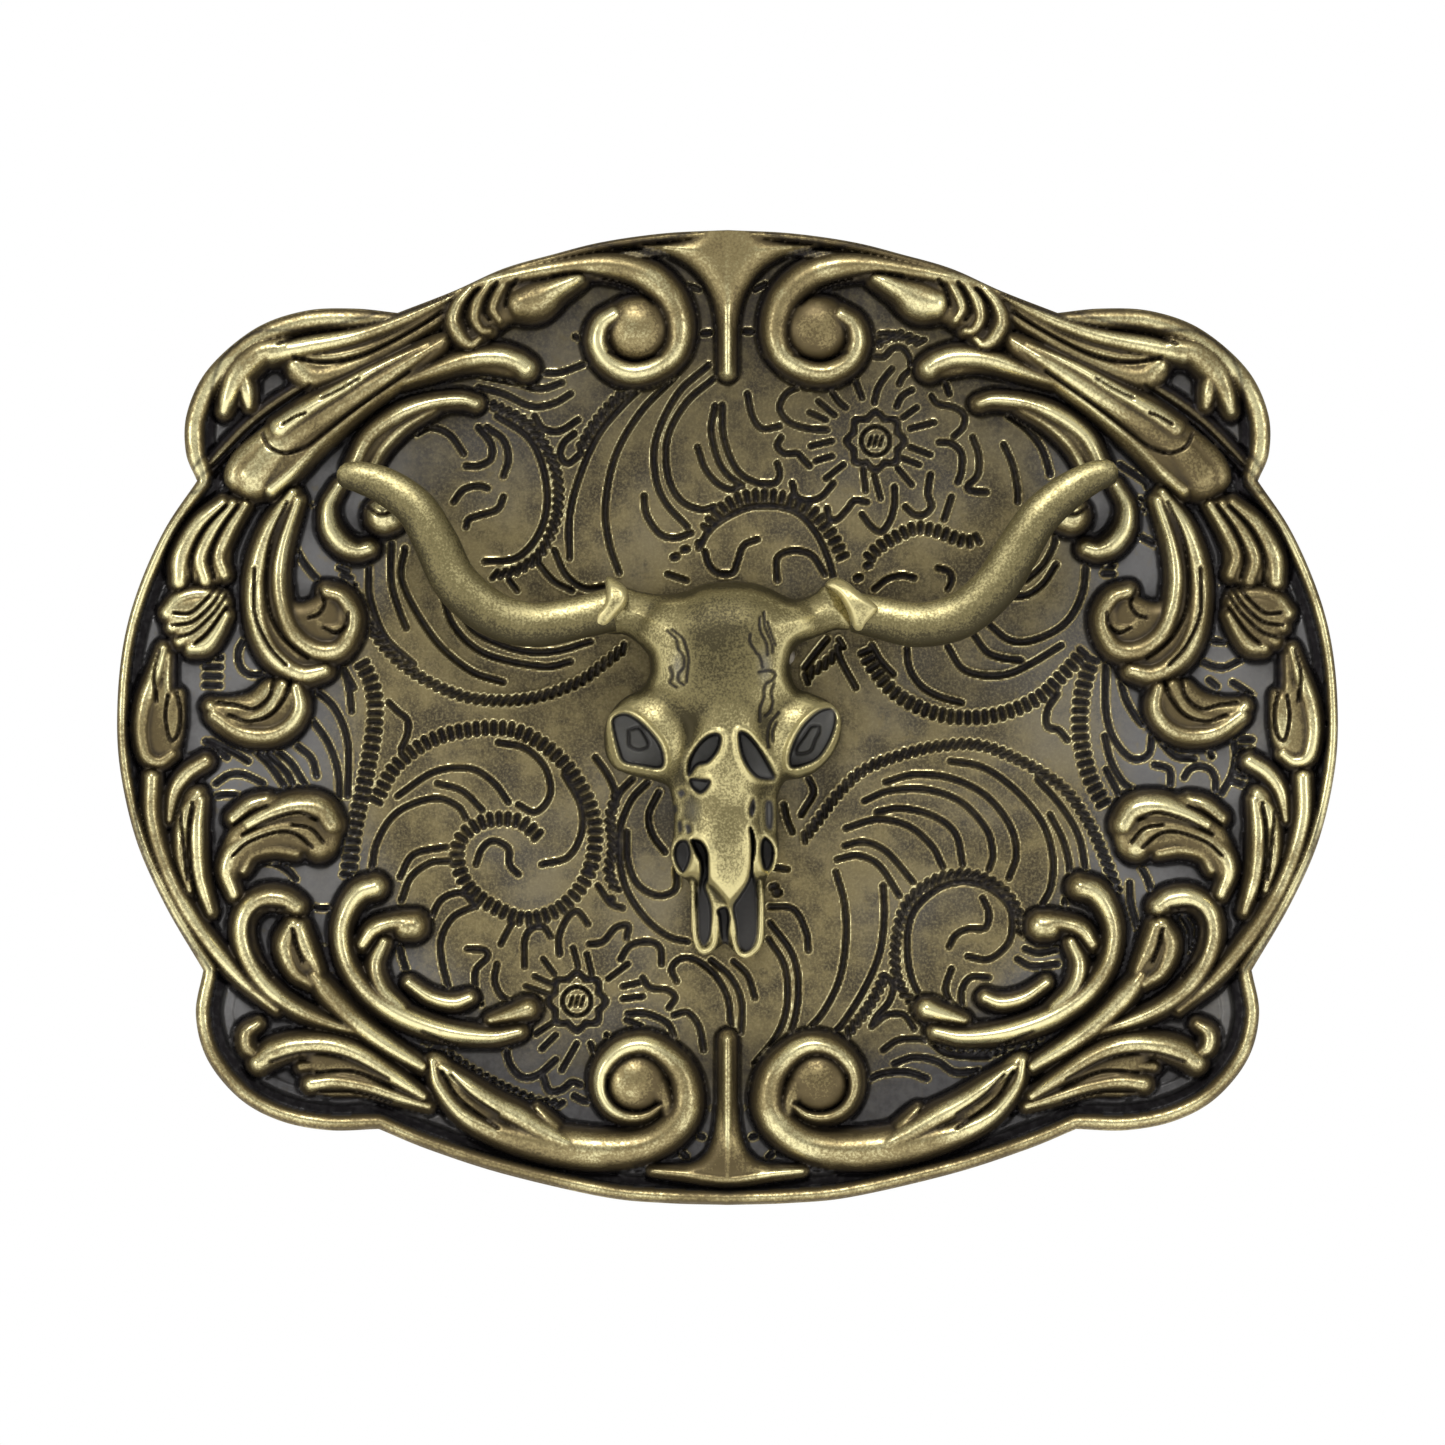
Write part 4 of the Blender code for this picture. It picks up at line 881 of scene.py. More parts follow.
# Dark folds cut into the border's leaves, left half.
BORDER_CUTS = [
    # tab leaf and club leaf
    [(-34.8, 28.9), (-32.4, 28.5), (-29.7, 28.9), (-27, 30.1), (-24.5, 31.5), (-22.9, 32.6)],
    [(-36.0, 30.0), (-33.5, 30.8), (-29, 31.5), (-25, 32.8), (-22, 34.0)],
    [(-32.5, 25.6), (-31, 26.3), (-29.5, 27.2)],
    [(-35.6, 23.5), (-34.6, 24.1), (-33.8, 24.4)],
    [(-37.3, 22.8), (-36.7, 21.7), (-35.4, 21.2), (-33.8, 21.7), (-32.2, 22.9), (-29.5, 25.0),
     (-25.5, 27.8)],
    [(-42.6, 19), (-40, 21.5), (-38, 23.4), (-35.1, 25.5), (-33.5, 26.6)],
    # bulb leaf and volute
    [(-19.9, 34.4), (-20.8, 33.3), (-21.1, 32.2), (-20.8, 31.2)],
    [(-18.5, 34.9), (-19.2, 33.7), (-19.5, 32.6), (-19.1, 31.9)],
    [(-16.9, 35.1), (-17.5, 34.3), (-17.8, 33.0)],
    [(-14.0, 35.4), (-12, 35.6), (-10.2, 35.4), (-7.5, 34.6), (-5.9, 33.2)],
    [(-9.5, 29.3), (-7.5, 28.6), (-5.4, 29.1)],
    # bead under the horn
    [(-28.9, 16.9), (-27.8, 16.3), (-26.6, 16.6)],
    # side feathers and shell
    [(-40.2, 17.0), (-42.0, 15.1), (-43.0, 12.9), (-43.0, 10.9)],
    [(-39.3, 17.0), (-40.7, 15.0), (-41.5, 12.9), (-41.2, 11.2)],
    [(-44.4, 8.4), (-43.1, 8.4), (-41.8, 9.5), (-41.1, 10.4)],
    [(-44.6, 7.4), (-42.9, 7.7), (-41.4, 9.0), (-40.6, 10.2)],
    [(-44.2, 6.4), (-42.8, 6.9), (-41.2, 8.4), (-40.2, 9.8)],
    [(-42.7, 5.9), (-41.6, 6.9), (-40.2, 8.8)],
    # stem with its curl
    [(-35.3, 17.3), (-36.6, 14.2), (-37.0, 11.1), (-36.7, 8.4), (-35.5, 6.3), (-33.6, 4.8)],
    [(-37.9, 12), (-37.9, 8.4), (-36.8, 5.8), (-35.4, 4.2)],
    [(-32.8, 10.2), (-32.3, 9.2), (-32.8, 8.3), (-33.6, 8.0)],
    [(-32.4, 7.2), (-31.4, 6.8), (-30.6, 7.3), (-30.4, 8.4)],
    # ribbon and hook leaf
    [(-45.6, 5.4), (-46.0, 3.4), (-45.8, 1.3)],
    [(-44.9, 1.8), (-45.1, 0), (-44.7, -1.8), (-44.1, -1.3), (-43.9, 0.4), (-44.2, 2.0)],
    [(-40.9, 1.2), (-39.4, 1.0), (-38, 0.7), (-36.8, 1.6), (-36.4, 3.0)],
    [(-40.0, 0.2), (-38.4, -0.3), (-36.7, 0.2), (-35.5, 1.6), (-35.0, 3.0)],
    # small feathers
    [(-42.9, -6.8), (-43.2, -9), (-43.1, -12), (-42.6, -14.6)],
    [(-43.9, -7.6), (-43.6, -10.4), (-43.3, -13)],
    # big leaf
    [(-39.6, -8.6), (-38.2, -7.7), (-36.9, -7.1)],
    [(-38.9, -9.4), (-36.7, -8.2), (-34.4, -7.6), (-32.9, -8.2)],
    [(-39.7, -11.1), (-38.4, -10.0), (-36.2, -9.2), (-34.7, -9.3), (-33.3, -10.4)],
    [(-34.9, -8.6), (-33.4, -8.9), (-32.4, -10.0)],
    # bud and side scroll
    [(-34.9, -16.9), (-34.6, -18.2), (-34.1, -19.6)],
    [(-35.6, -15.3), (-37.4, -15.3), (-38.3, -16.6), (-38.0, -18.8), (-36.6, -20.9)],
    # corner leaf
    [(-36.6, -27.6), (-33.8, -26.9), (-30.6, -27.3), (-27.2, -29.0)],
    [(-33, -28.5), (-30, -28.4), (-26.8, -29.7)],
    [(-32.8, -30.0), (-30, -30.0), (-27, -30.8)],
    # bottom scroll
    [(-22.9, -28.4), (-21.8, -30.3), (-20.2, -31.7), (-18.4, -32.9)],
    [(-22.2, -28.6), (-20.6, -30.3), (-18.4, -31.8)],
    [(-9.6, -28.7), (-9.6, -30.2), (-8.6, -31.3), (-6.9, -31.6), (-5.4, -30.9)],
    [(-24.5, -25.2), (-21.8, -26.3)],
]

# Engraved lines of the field and of the ground round it, each through a few points.  They are
# not symmetric.
LINES = [
    # ground, far right
    [(32.2, 17.2), (33.4, 16.7), (34.6, 16.3)],
    [(32.4, 15.1), (33.4, 14.4), (34.7, 14.0)],
    [(37.8, 10.7), (39.4, 10.7)],
    [(37.2, 6.7), (38.8, 6.2), (40.6, 6.0)],
    [(36.9, 5.4), (38.3, 4.4), (39.8, 4.0), (41.2, 4.6)],
    [(38.7, 3.0), (39.3, 2.5)],
    [(40.6, 2.8), (41.4, 2.3), (42.1, 1.8)],
    [(40.6, -1.6), (40.8, -3.1), (40.5, -4.6), (39.7, -6.1)],
    [(36.7, -4.8), (37.1, -4.2), (37.9, -3.9), (38.8, -4.2), (39.2, -5.0), (39.2, -5.8)],
    [(38.0, -2.3), (38.6, -2.6), (38.9, -3.1)],
    [(36.4, -15.6), (37.2, -17.2), (37.1, -19)],
    # ground, upper left
    [(-34.2, 17.1), (-33.2, 17.0), (-32.4, 16.2)],
    [(-35.0, 14.7), (-34.4, 13.0), (-33.4, 11.6), (-32.8, 11.0)],
    [(-31.4, 4.9), (-30.0, 2.4)],
    # short marks beside the centre spikes
    [(-3.3, 34.7), (-2.3, 34.4)],
    [(-2.5, 30.8), (-1.4, 30.9)],
    [(2.2, 34.4), (3.1, 34.8)],
    [(1.4, 31.0), (2.2, 31.0)],
    [(-12.2, 30.6), (-11.4, 30.2), (-10.8, 30.4)],
    [(11.0, 30.4), (11.8, 30.2), (12.6, 30.3)],
    # ground, far left
    [(-37.3, -2.5), (-36.2, -3.6), (-35.3, -4.6), (-34.7, -5.9)],
    [(-36.4, -2.5), (-35.1, -3.6), (-34.3, -4.8), (-33.5, -6.1)],
    [(-38.1, -2.5), (-36.8, -3.8), (-35.6, -5.5)],
    [(-41.9, -1.9), (-40.9, -2.7), (-40.2, -3.2)],
    [(-41.5, -1.9), (-39.8, -2.7), (-38.5, -3.5)],
    [(-41.1, -5.3), (-40, -4.6), (-38.8, -4.6), (-37.3, -5.3)],
    [(-41, -6.3), (-40.2, -6.2), (-39.2, -6.3)],
    [(-38.1, 7.1), (-39.2, 5.6), (-39.2, 4.3), (-38.5, 3.5), (-37.3, 3.5), (-36.7, 4.1)],
    [(-38.1, -11.5), (-36.4, -11.7), (-35.3, -12.3), (-34.7, -13)],
    [(-34.1, -14.7), (-33, -15.3), (-31.5, -15.3)],
    [(-33.2, -17.7), (-32.4, -18.3), (-31.1, -18.1)],
    [(-32.4, -20.3), (-31.3, -20.6), (-30.2, -20.4)],
    [(-26.4, -17.8), (-26.2, -19.1), (-25.5, -21.2)],
    # upper left
    [(-15.4, 27.7), (-13.5, 27.7), (-11.5, 28.4), (-10.4, 28.9)],
    [(-20, 27.5), (-17, 26.9), (-15, 26.4), (-13.3, 26.9)],
    [(-20, 26.5), (-18, 26), (-15.8, 25), (-14, 25.2), (-12.6, 26)],
    [(-18.5, 24.2), (-16, 22.5), (-14.8, 20), (-14.5, 17), (-15.3, 14.5), (-17, 12.8), (-19.5, 12.5)],
    [(-15.5, 24.2), (-14.8, 23.2), (-13.5, 23), (-12, 23.9)],
    [(-12.3, 22.8), (-13.2, 22), (-13.4, 21), (-12.8, 20.4), (-12, 21)],
    [(-6.5, 26.9), (-8.5, 25), (-10.5, 22.5), (-12, 19), (-12.7, 16), (-12.7, 12.8)],
    [(-4.2, 27.4), (-7, 24.5), (-9, 21), (-9.8, 17), (-9.5, 14), (-8.7, 11.6)],
    [(-1.5, 28.3), (-4, 26), (-5.7, 22.5), (-5.8, 19.5), (-5, 17.3), (-3.2, 15.3)],
    [(-1, 27.3), (-3.3, 25.3), (-4.8, 22.5), (-4.8, 19.5), (-3.8, 17.5), (-2.2, 16.7), (-1.1, 16.9)],
    [(-2.4, 21.7), (-1.8, 20), (-0.8, 18.8), (0.3, 18.3), (1.1, 18.7)],
    [(-1, 25), (-1.3, 23), (-0.8, 20.8), (0, 19.5), (1.2, 18.6)],
    [(-0.4, 25.1), (-0.3, 22.5), (0.7, 20), (2.2, 18.9), (3.7, 18.8), (4.2, 19.5), (4, 20.4)],
    [(1.6, 26), (2, 24.2), (2.8, 23.2), (4.2, 23.4)],
    [(5.8, 26.6), (4.7, 26), (4.2, 24.8), (5, 23.7), (6.5, 23.2), (8, 23.1)],
    [(-1.8, 13.3), (-1.5, 12.3), (-0.8, 11.6), (0.4, 11.6), (0.8, 12.5), (1.3, 13.8), (2.4, 14.3)],
    [(4, 11), (4, 12.8), (5.3, 13.4), (6.8, 13), (7.8, 11.5)],
    [(-6.7, 17.8), (-6.5, 16.3), (-5.5, 14.8), (-4.3, 14.4), (-2.9, 14.8)],
    [(-4.8, 11.5), (-3.3, 11)],
    [(-15.2, 12.4), (-14, 11), (-12.5, 10.2)],
    [(-13.9, 13.4), (-13, 11.5), (-11.5, 10.4), (-9.9, 10.5)],
    [(-17.5, 11), (-16.9, 10.2)],
    [(-18, 17.7), (-18.5, 16.7), (-20, 16.2), (-20.8, 15.9), (-21, 15.3)],
    [(-19.3, 23.3), (-18, 22.3), (-17.6, 20.8), (-18, 19.4)],
    [(-20, 23.3), (-19, 22), (-19, 20.8), (-20, 20.2), (-21, 20.2)],
    [(-25, 22.8), (-23.8, 23.3), (-22.3, 22.7), (-21.2, 21.2)],
    [(-22, 17.3), (-21.2, 18.3), (-20, 18.6), (-19.3, 18.4)],
    # under the left horn
    [(-23.1, 10.7), (-22, 7.4), (-19.4, 5.1), (-14.9, 4.1), (-12.6, 4.5)],
    [(-21.3, 8.2), (-20, 6.7), (-16.8, 5.4), (-13.9, 5.3), (-11, 6.1)],
    [(-25.9, 13.6), (-26.1, 10.8), (-23.6, 6.4), (-20.7, 3.8), (-18, 2.85)],
    [(-28.8, 12), (-28.7, 9.5), (-27.5, 6.5), (-25.2, 4.3)],
    [(-27, 14), (-27, 11), (-26.5, 9), (-25.8, 7.2)],
    [(-27.2, 1.2), (-26.5, 0.5), (-25.7, -0.2), (-25.7, -1.3), (-26.2, -2.5)],
    # lower left spiral
    [(-26.5, -6.3), (-23.6, -4.4), (-20.7, -4.1), (-18.8, -5.2), (-17.6, -6.8)],
    [(-23.3, -5.3), (-21.3, -5.9), (-19.7, -7.4)],
    [(-28.6, -12.3), (-28.1, -9.9), (-26.5, -7.6), (-23.6, -6.5), (-21.7, -7.1), (-21, -8.1)],
    [(-26.3, -12.8), (-25.2, -11), (-22.6, -10.4)],
    [(-26.2, -14.7), (-25.4, -12.8), (-23.9, -11.7), (-22.3, -11.5)],
    [(-23.9, -16.3), (-22.95, -14.6), (-21.3, -14.1), (-20.2, -15.2)],
    [(-22.3, -22.1), (-22.95, -19.5), (-22.95, -17.6), (-22, -16), (-20.4, -15.2)],
    [(-16.8, -7), (-15.4, -7.6), (-14.25, -6.2), (-14.6, -4.1), (-16.2, -2.5), (-18.4, -2)],
    [(-13.1, -4.6), (-11.8, -7), (-11.7, -9.2), (-12.8, -11.2), (-14.9, -11.8)],
    [(-20.2, -11.8), (-19.7, -10.5), (-18.8, -9.9), (-17.6, -10.5), (-17.5, -11.8), (-16.8, -12.6)],
    # left of the muzzle
    [(-10.6, -3.2), (-9.6, -4.6), (-8.9, -6.1)],
    [(-7.6, -4.9), (-8.6, -6.0), (-9.2, -7.4)],
    [(-6.4, -5.2), (-7.7, -6.6), (-8.6, -8.8), (-8.7, -11), (-8.1, -13.8), (-6.5, -16.2), (-4.7, -17.6),
     (-3.2, -18)],
    [(-5.5, -6), (-6.3, -7.8), (-6, -9.4), (-5, -10.8)],
    [(-8.1, -9.2), (-8.0, -11.5), (-7.2, -13.4), (-5.6, -14.3), (-4.2, -13.8), (-4.1, -12.1)],
    [(-10.4, -13.5), (-9.4, -14.9), (-8.4, -15.3)],
    [(-11.1, -18.2), (-10, -18), (-9, -16.9), (-8, -16.7), (-8.1, -17.7)],
    [(-8.6, -19.4), (-7.8, -18.3), (-6.3, -18.0), (-5.4, -18.5), (-5.3, -19.8)],
    [(-20.9, -18.6), (-19.5, -18.7), (-19.3, -19.3), (-20.2, -20.3), (-20.2, -22), (-19.8, -23)],
    [(-18.5, -19.8), (-18.7, -21.2), (-18, -22.5), (-16.5, -22.9)],
    [(-17.3, -16.5), (-17.8, -17.4), (-18.2, -18.2)],
    [(-16.3, -20), (-16.3, -18), (-15.8, -17), (-14.8, -16.8), (-14.2, -17.6)],
    [(-13.5, -19), (-13.5, -17.5), (-12.8, -16), (-12, -15.6), (-11.2, -16.6)],
    [(-6.8, -20.9), (-6.2, -21.7), (-4.8, -21.9), (-4.2, -22.5), (-4.7, -23.3)],
    [(-4.1, -21.2), (-4.5, -20.2), (-3.8, -19.4), (-2.5, -19.5), (-1, -20.7), (0, -22.5), (0.3, -24.8)],
    [(-1.3, -19.5), (0.2, -20.8), (1.1, -22.7), (1.1, -25.3)],
    [(0.5, -19.6), (1.6, -20.7), (2.2, -22.5)],
    [(-8, -23.8), (-6.5, -23.8), (-4.8, -24.6), (-4.2, -26)],
    [(-4.3, -23.9), (-3.2, -23.7), (-2.3, -24.8), (-1.9, -26.7)],
    [(-17.8, -26.3), (-17.5, -27.8), (-16.5, -28.9), (-15.2, -28.7), (-13.8, -27.5)],
    [(-14.8, -28.9), (-14.3, -30), (-13.3, -29.9), (-12.5, -29.3), (-11.8, -29.5)],
    [(-12.3, -30.4), (-11.5, -30.8), (-10.3, -30.7)],
    # lines in the grey ground by the left border
    [(-33.4, 2.4), (-31.6, 0.8), (-30.5, -2), (-30.5, -6.3)],
    [(-33.6, 0.1), (-32.1, -2), (-31.3, -4.3), (-31.2, -6.4)],
    [(-31, 4.5), (-30.4, 2.4), (-30.2, 0.5)],
    [(-34.5, -2.3), (-33.4, -3.3), (-33, -4.7)],
    # upper right, round the flower
    [(10.5, 30.5), (11.4, 30.6), (12.2, 29.9)],
    [(11.7, 29), (12.6, 29), (13.2, 29.6), (14, 29.7), (14.6, 29), (14.8, 28.1)],
    [(14.8, 28), (14.1, 27.4), (13.8, 26.8)],
    [(13.2, 28), (12.4, 27), (12, 26.2), (11.8, 25.3)],
    [(10, 28), (10.3, 27), (10.8, 25.7)],
    [(8.1, 27), (8.5, 26), (9, 25.3), (9.5, 24.9)],
    [(6.5, 26.9), (6.7, 26.4)],
    [(4.3, 22.5), (4, 21.8), (4.6, 21.2), (5.6, 21.2), (6.1, 20.7), (6.6, 20.2)],
    [(5.2, 18.8), (5.5, 17.8), (6.4, 17.4), (7.5, 17.7), (8.5, 18.8)],
    [(8, 16.8), (8.2, 16), (8.8, 15.9), (9.6, 16.7), (10.2, 17.4), (11.2, 17.3)],
    [(13.6, 25), (14, 25.8), (14.8, 26.3)],
    [(16.4, 25.8), (16.9, 25.2), (18.2, 24.9), (19, 24.3), (18.9, 23.3), (18.2, 22.6)],
    [(17.3, 27.7), (17.6, 26.6), (17.8, 26)],
    [(17, 22.1), (18, 22), (18.8, 21.2), (18.8, 19.8), (18.5, 18.9)],
    [(19.7, 22.5), (20.2, 21), (20.1, 19.5), (19.3, 18.6), (19.6, 18.2), (20.8, 18.1)],
    [(22.2, 21.9), (22.9, 20.3), (23.3, 18.3), (23.3, 17.3)],
    [(22.5, 24.3), (24, 23.2), (25.2, 21.7), (25.8, 20), (25.9, 19.5)],
    [(16.3, 19.5), (16.1, 18), (16.4, 17), (15.8, 16.3), (15, 16.3), (14.3, 16.9)],
    [(18, 17.7), (17.4, 15.9)],
    [(13.4, 18.5), (13.4, 17), (13, 15.7), (12.3, 14.9), (11.5, 15.4), (10.8, 16.3)],
    [(11.8, 10.3), (12.8, 11.1), (14, 11.4), (15, 11.2)],
    [(16.9, 12), (17.8, 11.7), (18, 11), (17.7, 10.3)],
    # under the right horn
    [(26.3, 15), (26.2, 13.8), (25.3, 12.2), (24, 11)],
    [(26.4, 12.3), (25.4, 10.8), (24.2, 9.9), (23, 9.7)],
    [(28.8, 12.3), (28.5, 10), (27.5, 8), (26, 6.8), (24, 6.1), (22.5, 6.3), (21, 7.5)],
    [(8, 6.3), (7.1, 5.2), (6.2, 4)],
    [(8.8, 5.3), (9.3, 4.2), (10.3, 2.4)],
    [(11.6, 5.8), (12.3, 4.6), (13.3, 3.5)],
    [(14.4, 5.5), (14.6, 4), (15.5, 2.6), (17, 1.7), (18.8, 1.2)],
    [(17.7, 5.7), (18.8, 4), (20.5, 3.4), (22.5, 3.5), (24.5, 4.4), (26.8, 5.8)],
    [(19.8, 6.6), (20.8, 5.3), (22, 4.8), (23.6, 4.6)],
    [(26.5, 1.9), (25.7, 0.6), (25.7, -0.7), (26.6, -1), (27.3, -1.8)],
    # nested arcs over the lower right spiral
    [(17.9, -3.5), (20.5, -4), (23, -5.7), (25.2, -8.3), (26.1, -11), (26, -13.5), (25.3, -15)],
    [(12.7, -5.2), (15, -4.6), (18, -4.9), (20.8, -6.3), (22.7, -8.7), (23.2, -11), (22.6, -12.9)],
    [(11, -6.7), (13, -5.9), (16, -5.8), (18.8, -6.8), (20.8, -9), (21.3, -11), (21, -12.2)],
    [(12, -7.6), (14, -7.3), (16.5, -7.9), (18.3, -9.3), (18.9, -11.8)],
    [(9.5, -8.9), (12, -8.2), (14.5, -8.7), (16.4, -10.3), (17.3, -12)],
    [(9.4, -10.3), (11, -10), (12.8, -10.8), (14.9, -13.2)],
    [(8.8, -11.4), (10.5, -11.1), (12.2, -11.9), (13.8, -14.3)],
    [(24.9, -5), (26.7, -7), (28.2, -9.5), (28.8, -12.5)],
    [(25.9, -7.8), (27, -10), (27.5, -12.5), (27.1, -14.9)],
    [(19.3, -19.2), (21, -19.4), (22.5, -18.2), (22.9, -16.5), (22.5, -15), (21, -13.7), (19, -13.2),
     (17, -13.7), (15.2, -15.2), (14.5, -17), (14.5, -19.5), (15, -21.5), (16, -23)],
    [(20.5, -14.5), (21, -15.7), (20.7, -16.9), (19.3, -17), (18.3, -17.5), (17.8, -18.4)],
    [(23.9, -18.6), (25, -18.9), (26.5, -18.6)],
    [(23.3, -19.4), (24.5, -20), (26.5, -19.8)],
    [(8.7, -12.4), (9.4, -15), (9.5, -18), (9, -21), (7.8, -23.5), (6.4, -25.2)],
    [(12.5, -13.5), (12.6, -16), (12.2, -19), (11, -21.8), (9.3, -24.5), (8.3, -25.5)],
    [(6.5, -4.9), (6.9, -6), (6.2, -7.3), (5.9, -7.8)],
    [(4.5, -7), (4.8, -8.3), (5.2, -9.2)],
    [(3.6, -12), (4.8, -12.2)],
    [(3.4, -15.2), (5.3, -15.4), (6.3, -17.2), (6.5, -18.7)],
    [(3.4, -16.5), (5.2, -19), (5.7, -22), (5, -25.5), (3, -28.5)],
    [(3.3, -17.8), (4.6, -20), (4.8, -23), (4, -25.5), (2.2, -27.8)],
    [(12.6, -20.7), (13.3, -21.5), (13, -22.8), (12, -24), (11.6, -24.8)],
    [(11.6, -24.8), (12.8, -23.9), (14.2, -23.9), (15, -25)],
    [(12.5, -26.7), (13.8, -25.9), (16, -25.9), (17.5, -26.9), (19.5, -27.2), (21, -27.2)],
    [(13.4, -27.8), (15, -27.3), (16.8, -27.6), (18.3, -28.5), (20.2, -28.4)],
    [(10.9, -29.3), (12.5, -28.6), (14.5, -28.5), (16, -29)],
    [(18, -20.2), (17.5, -21.8), (18, -23), (18.5, -23.6)],
    [(21, -20.9), (19.5, -20.9), (18.8, -22), (18.9, -23.4), (19.4, -24)],
    # lines in the grey ground by the right border
    [(30.4, 4.5), (30.4, 0.5), (31.1, -1.8), (32.5, -3.3), (33.8, -3), (34.1, -1.5)],
    [(31.4, 4), (32, 1.5), (33.2, -0.4), (34, -0.6)],
    [(30.3, -1.5), (30.8, -3.5), (31.8, -5.2), (32.8, -5.9)],
    [(30.4, -4.2), (31.5, -6.3)],
    [(34.3, -3.8), (35.5, -4.2), (35.6, -5.4)],
    [(34.8, -1.9), (36, -3.1), (37.5, -3.3)],
    [(31.5, 20.3), (33.5, 19), (33.8, 18.5)],
    [(32.4, 17.7), (34.3, 17.2)],
    [(32.5, 14.9), (34.5, 13.8)],
    [(32.3, -13.3), (32.4, -15), (33, -17)],
    [(32.8, -11.4), (33.6, -12.7), (34.2, -14.3)],
    # the plain arch over the skull's brow
    [(-2.3, 13.6), (-1.2, 15.3), (1.2, 16.7), (3.3, 17.0), (5.5, 16.5), (7, 15), (8, 13), (8.5, 11.3)],
]

# Marks beside the lower spike, left half.
SPIKE_MARKS = [
    [(-2.6, -31.3), (-1.6, -31.3)],
    [(-3.0, -33.3), (-2.0, -33.7)],
    [(-4.0, -34.6), (-3.3, -35.3)],
]

# Twisted cords: rows of slanting cuts that overlap.
CORDS = [
    [(-20, 25.5), (-18, 24.7), (-16, 23.5), (-14.6, 21.7), (-13.7, 19.5), (-13.6, 17), (-14.1, 15),
     (-15.2, 13), (-17, 11.8), (-19, 11.4)],
    [(-7, 27), (-9, 25.5), (-10.7, 23.5), (-12, 21.3)],
    [(-31, 12.2), (-29.4, 9), (-28.1, 6.4), (-25.9, 4.1), (-22.6, 2.2), (-19.4, 1.4), (-15.5, 1.6),
     (-12, 2.85), (-9.75, 4.45), (-8.1, 5.75)],
    [(-25.5, -25), (-23.5, -26.3), (-21.5, -27.8), (-19.5, -29), (-17.5, -30), (-15.5, -30.8),
     (-13.2, -31.2)],
    [(6, -9.9), (7.3, -8.2), (9, -6), (11, -4.2), (14, -3), (17, -2.3), (20, -2.2), (22.5, -3),
     (25, -4.3), (27.3, -6), (29.2, -8.8), (30.4, -11.5), (31.3, -14)],
    [(23.7, -17.7), (23.4, -15.8), (22.2, -13.9), (20.3, -12.8), (18.3, -12.6), (16.2, -13.3),
     (14.4, -15), (13.6, -17.5), (13.5, -20), (14.1, -22), (15.6, -23.5)],
    [(17, -26), (18.5, -26.6), (20.5, -26.8), (23, -26.5), (25, -25.9), (27, -24.5), (28.7, -22.7),
     (30, -20.5), (30.8, -18)],
    [(12.6, -20.8), (11.9, -22.3), (11, -23.7), (9.5, -25.6)],
    [(9.2, 6.3), (8.9, 5.4), (7.9, 4.4), (6.6, 3.5), (6.2, 2.8)],
    [(12.3, 31), (13, 30.6), (14, 30.7), (15, 30.3), (15.8, 30.1)],
    [(-8.9, -6.3), (-9.4, -8), (-9.2, -10.3), (-9.5, -12.4), (-8.9, -14)],
]

# Rungs: rows of separate cuts across a curve, with half the length of each cut.
RUNGS = [
    (0.45, [(41.7, -1.4), (41.5, -3.6), (40.9, -5.6)]),
    (0.6, [(-41.3, 5.2), (-41.4, 2.2)]),
    (0.42, [(-29.5, 4.6), (-28.5, 2.5), (-28.3, 0), (-28.7, -3), (-29.3, -6), (-30, -9), (-30.3, -11.5),
            (-30.5, -13)]),
    (0.42, [(29.4, 5.0), (28.6, 2.5), (28.3, 0), (28.5, -2.5), (29.2, -5), (30.4, -7.2)]),
    (0.36, [(30.6, 12.6), (30.6, 11.2)]),
    (0.36, [(-28.4, -7), (-26.5, -3.75), (-23, -1.5), (-18.1, -0.85), (-14.9, -2.1), (-12.3, -4.7),
            (-10.7, -8.3), (-11, -12.1), (-13, -15), (-15.9, -16.2), (-18.4, -15.4), (-20.7, -13.75),
            (-21.7, -11.5), (-21.3, -9.6), (-19.4, -8.3), (-16.8, -8.3), (-15, -9.7)]),
    (0.34, [(10.9, 5.6), (11.5, 4.3), (12.8, 2.6), (14.3, 1.4), (16.5, 0.4), (19, 0.0), (22, 0.3),
            (25, 1.6), (27, 3.5), (28.8, 5.5)]),
    (0.30, [(11.2, 12.6), (12.1, 13.6), (13.7, 14.6), (15.2, 15.2), (17, 14.9), (19.2, 14.1),
            (20.4, 14.5)]),
    (0.32, [(-1.9, 14.9), (-0.5, 16.7), (1.5, 17.7), (4.2, 17.7), (6.6, 16.7), (8.2, 14.9), (9.4, 12.6)]),
]

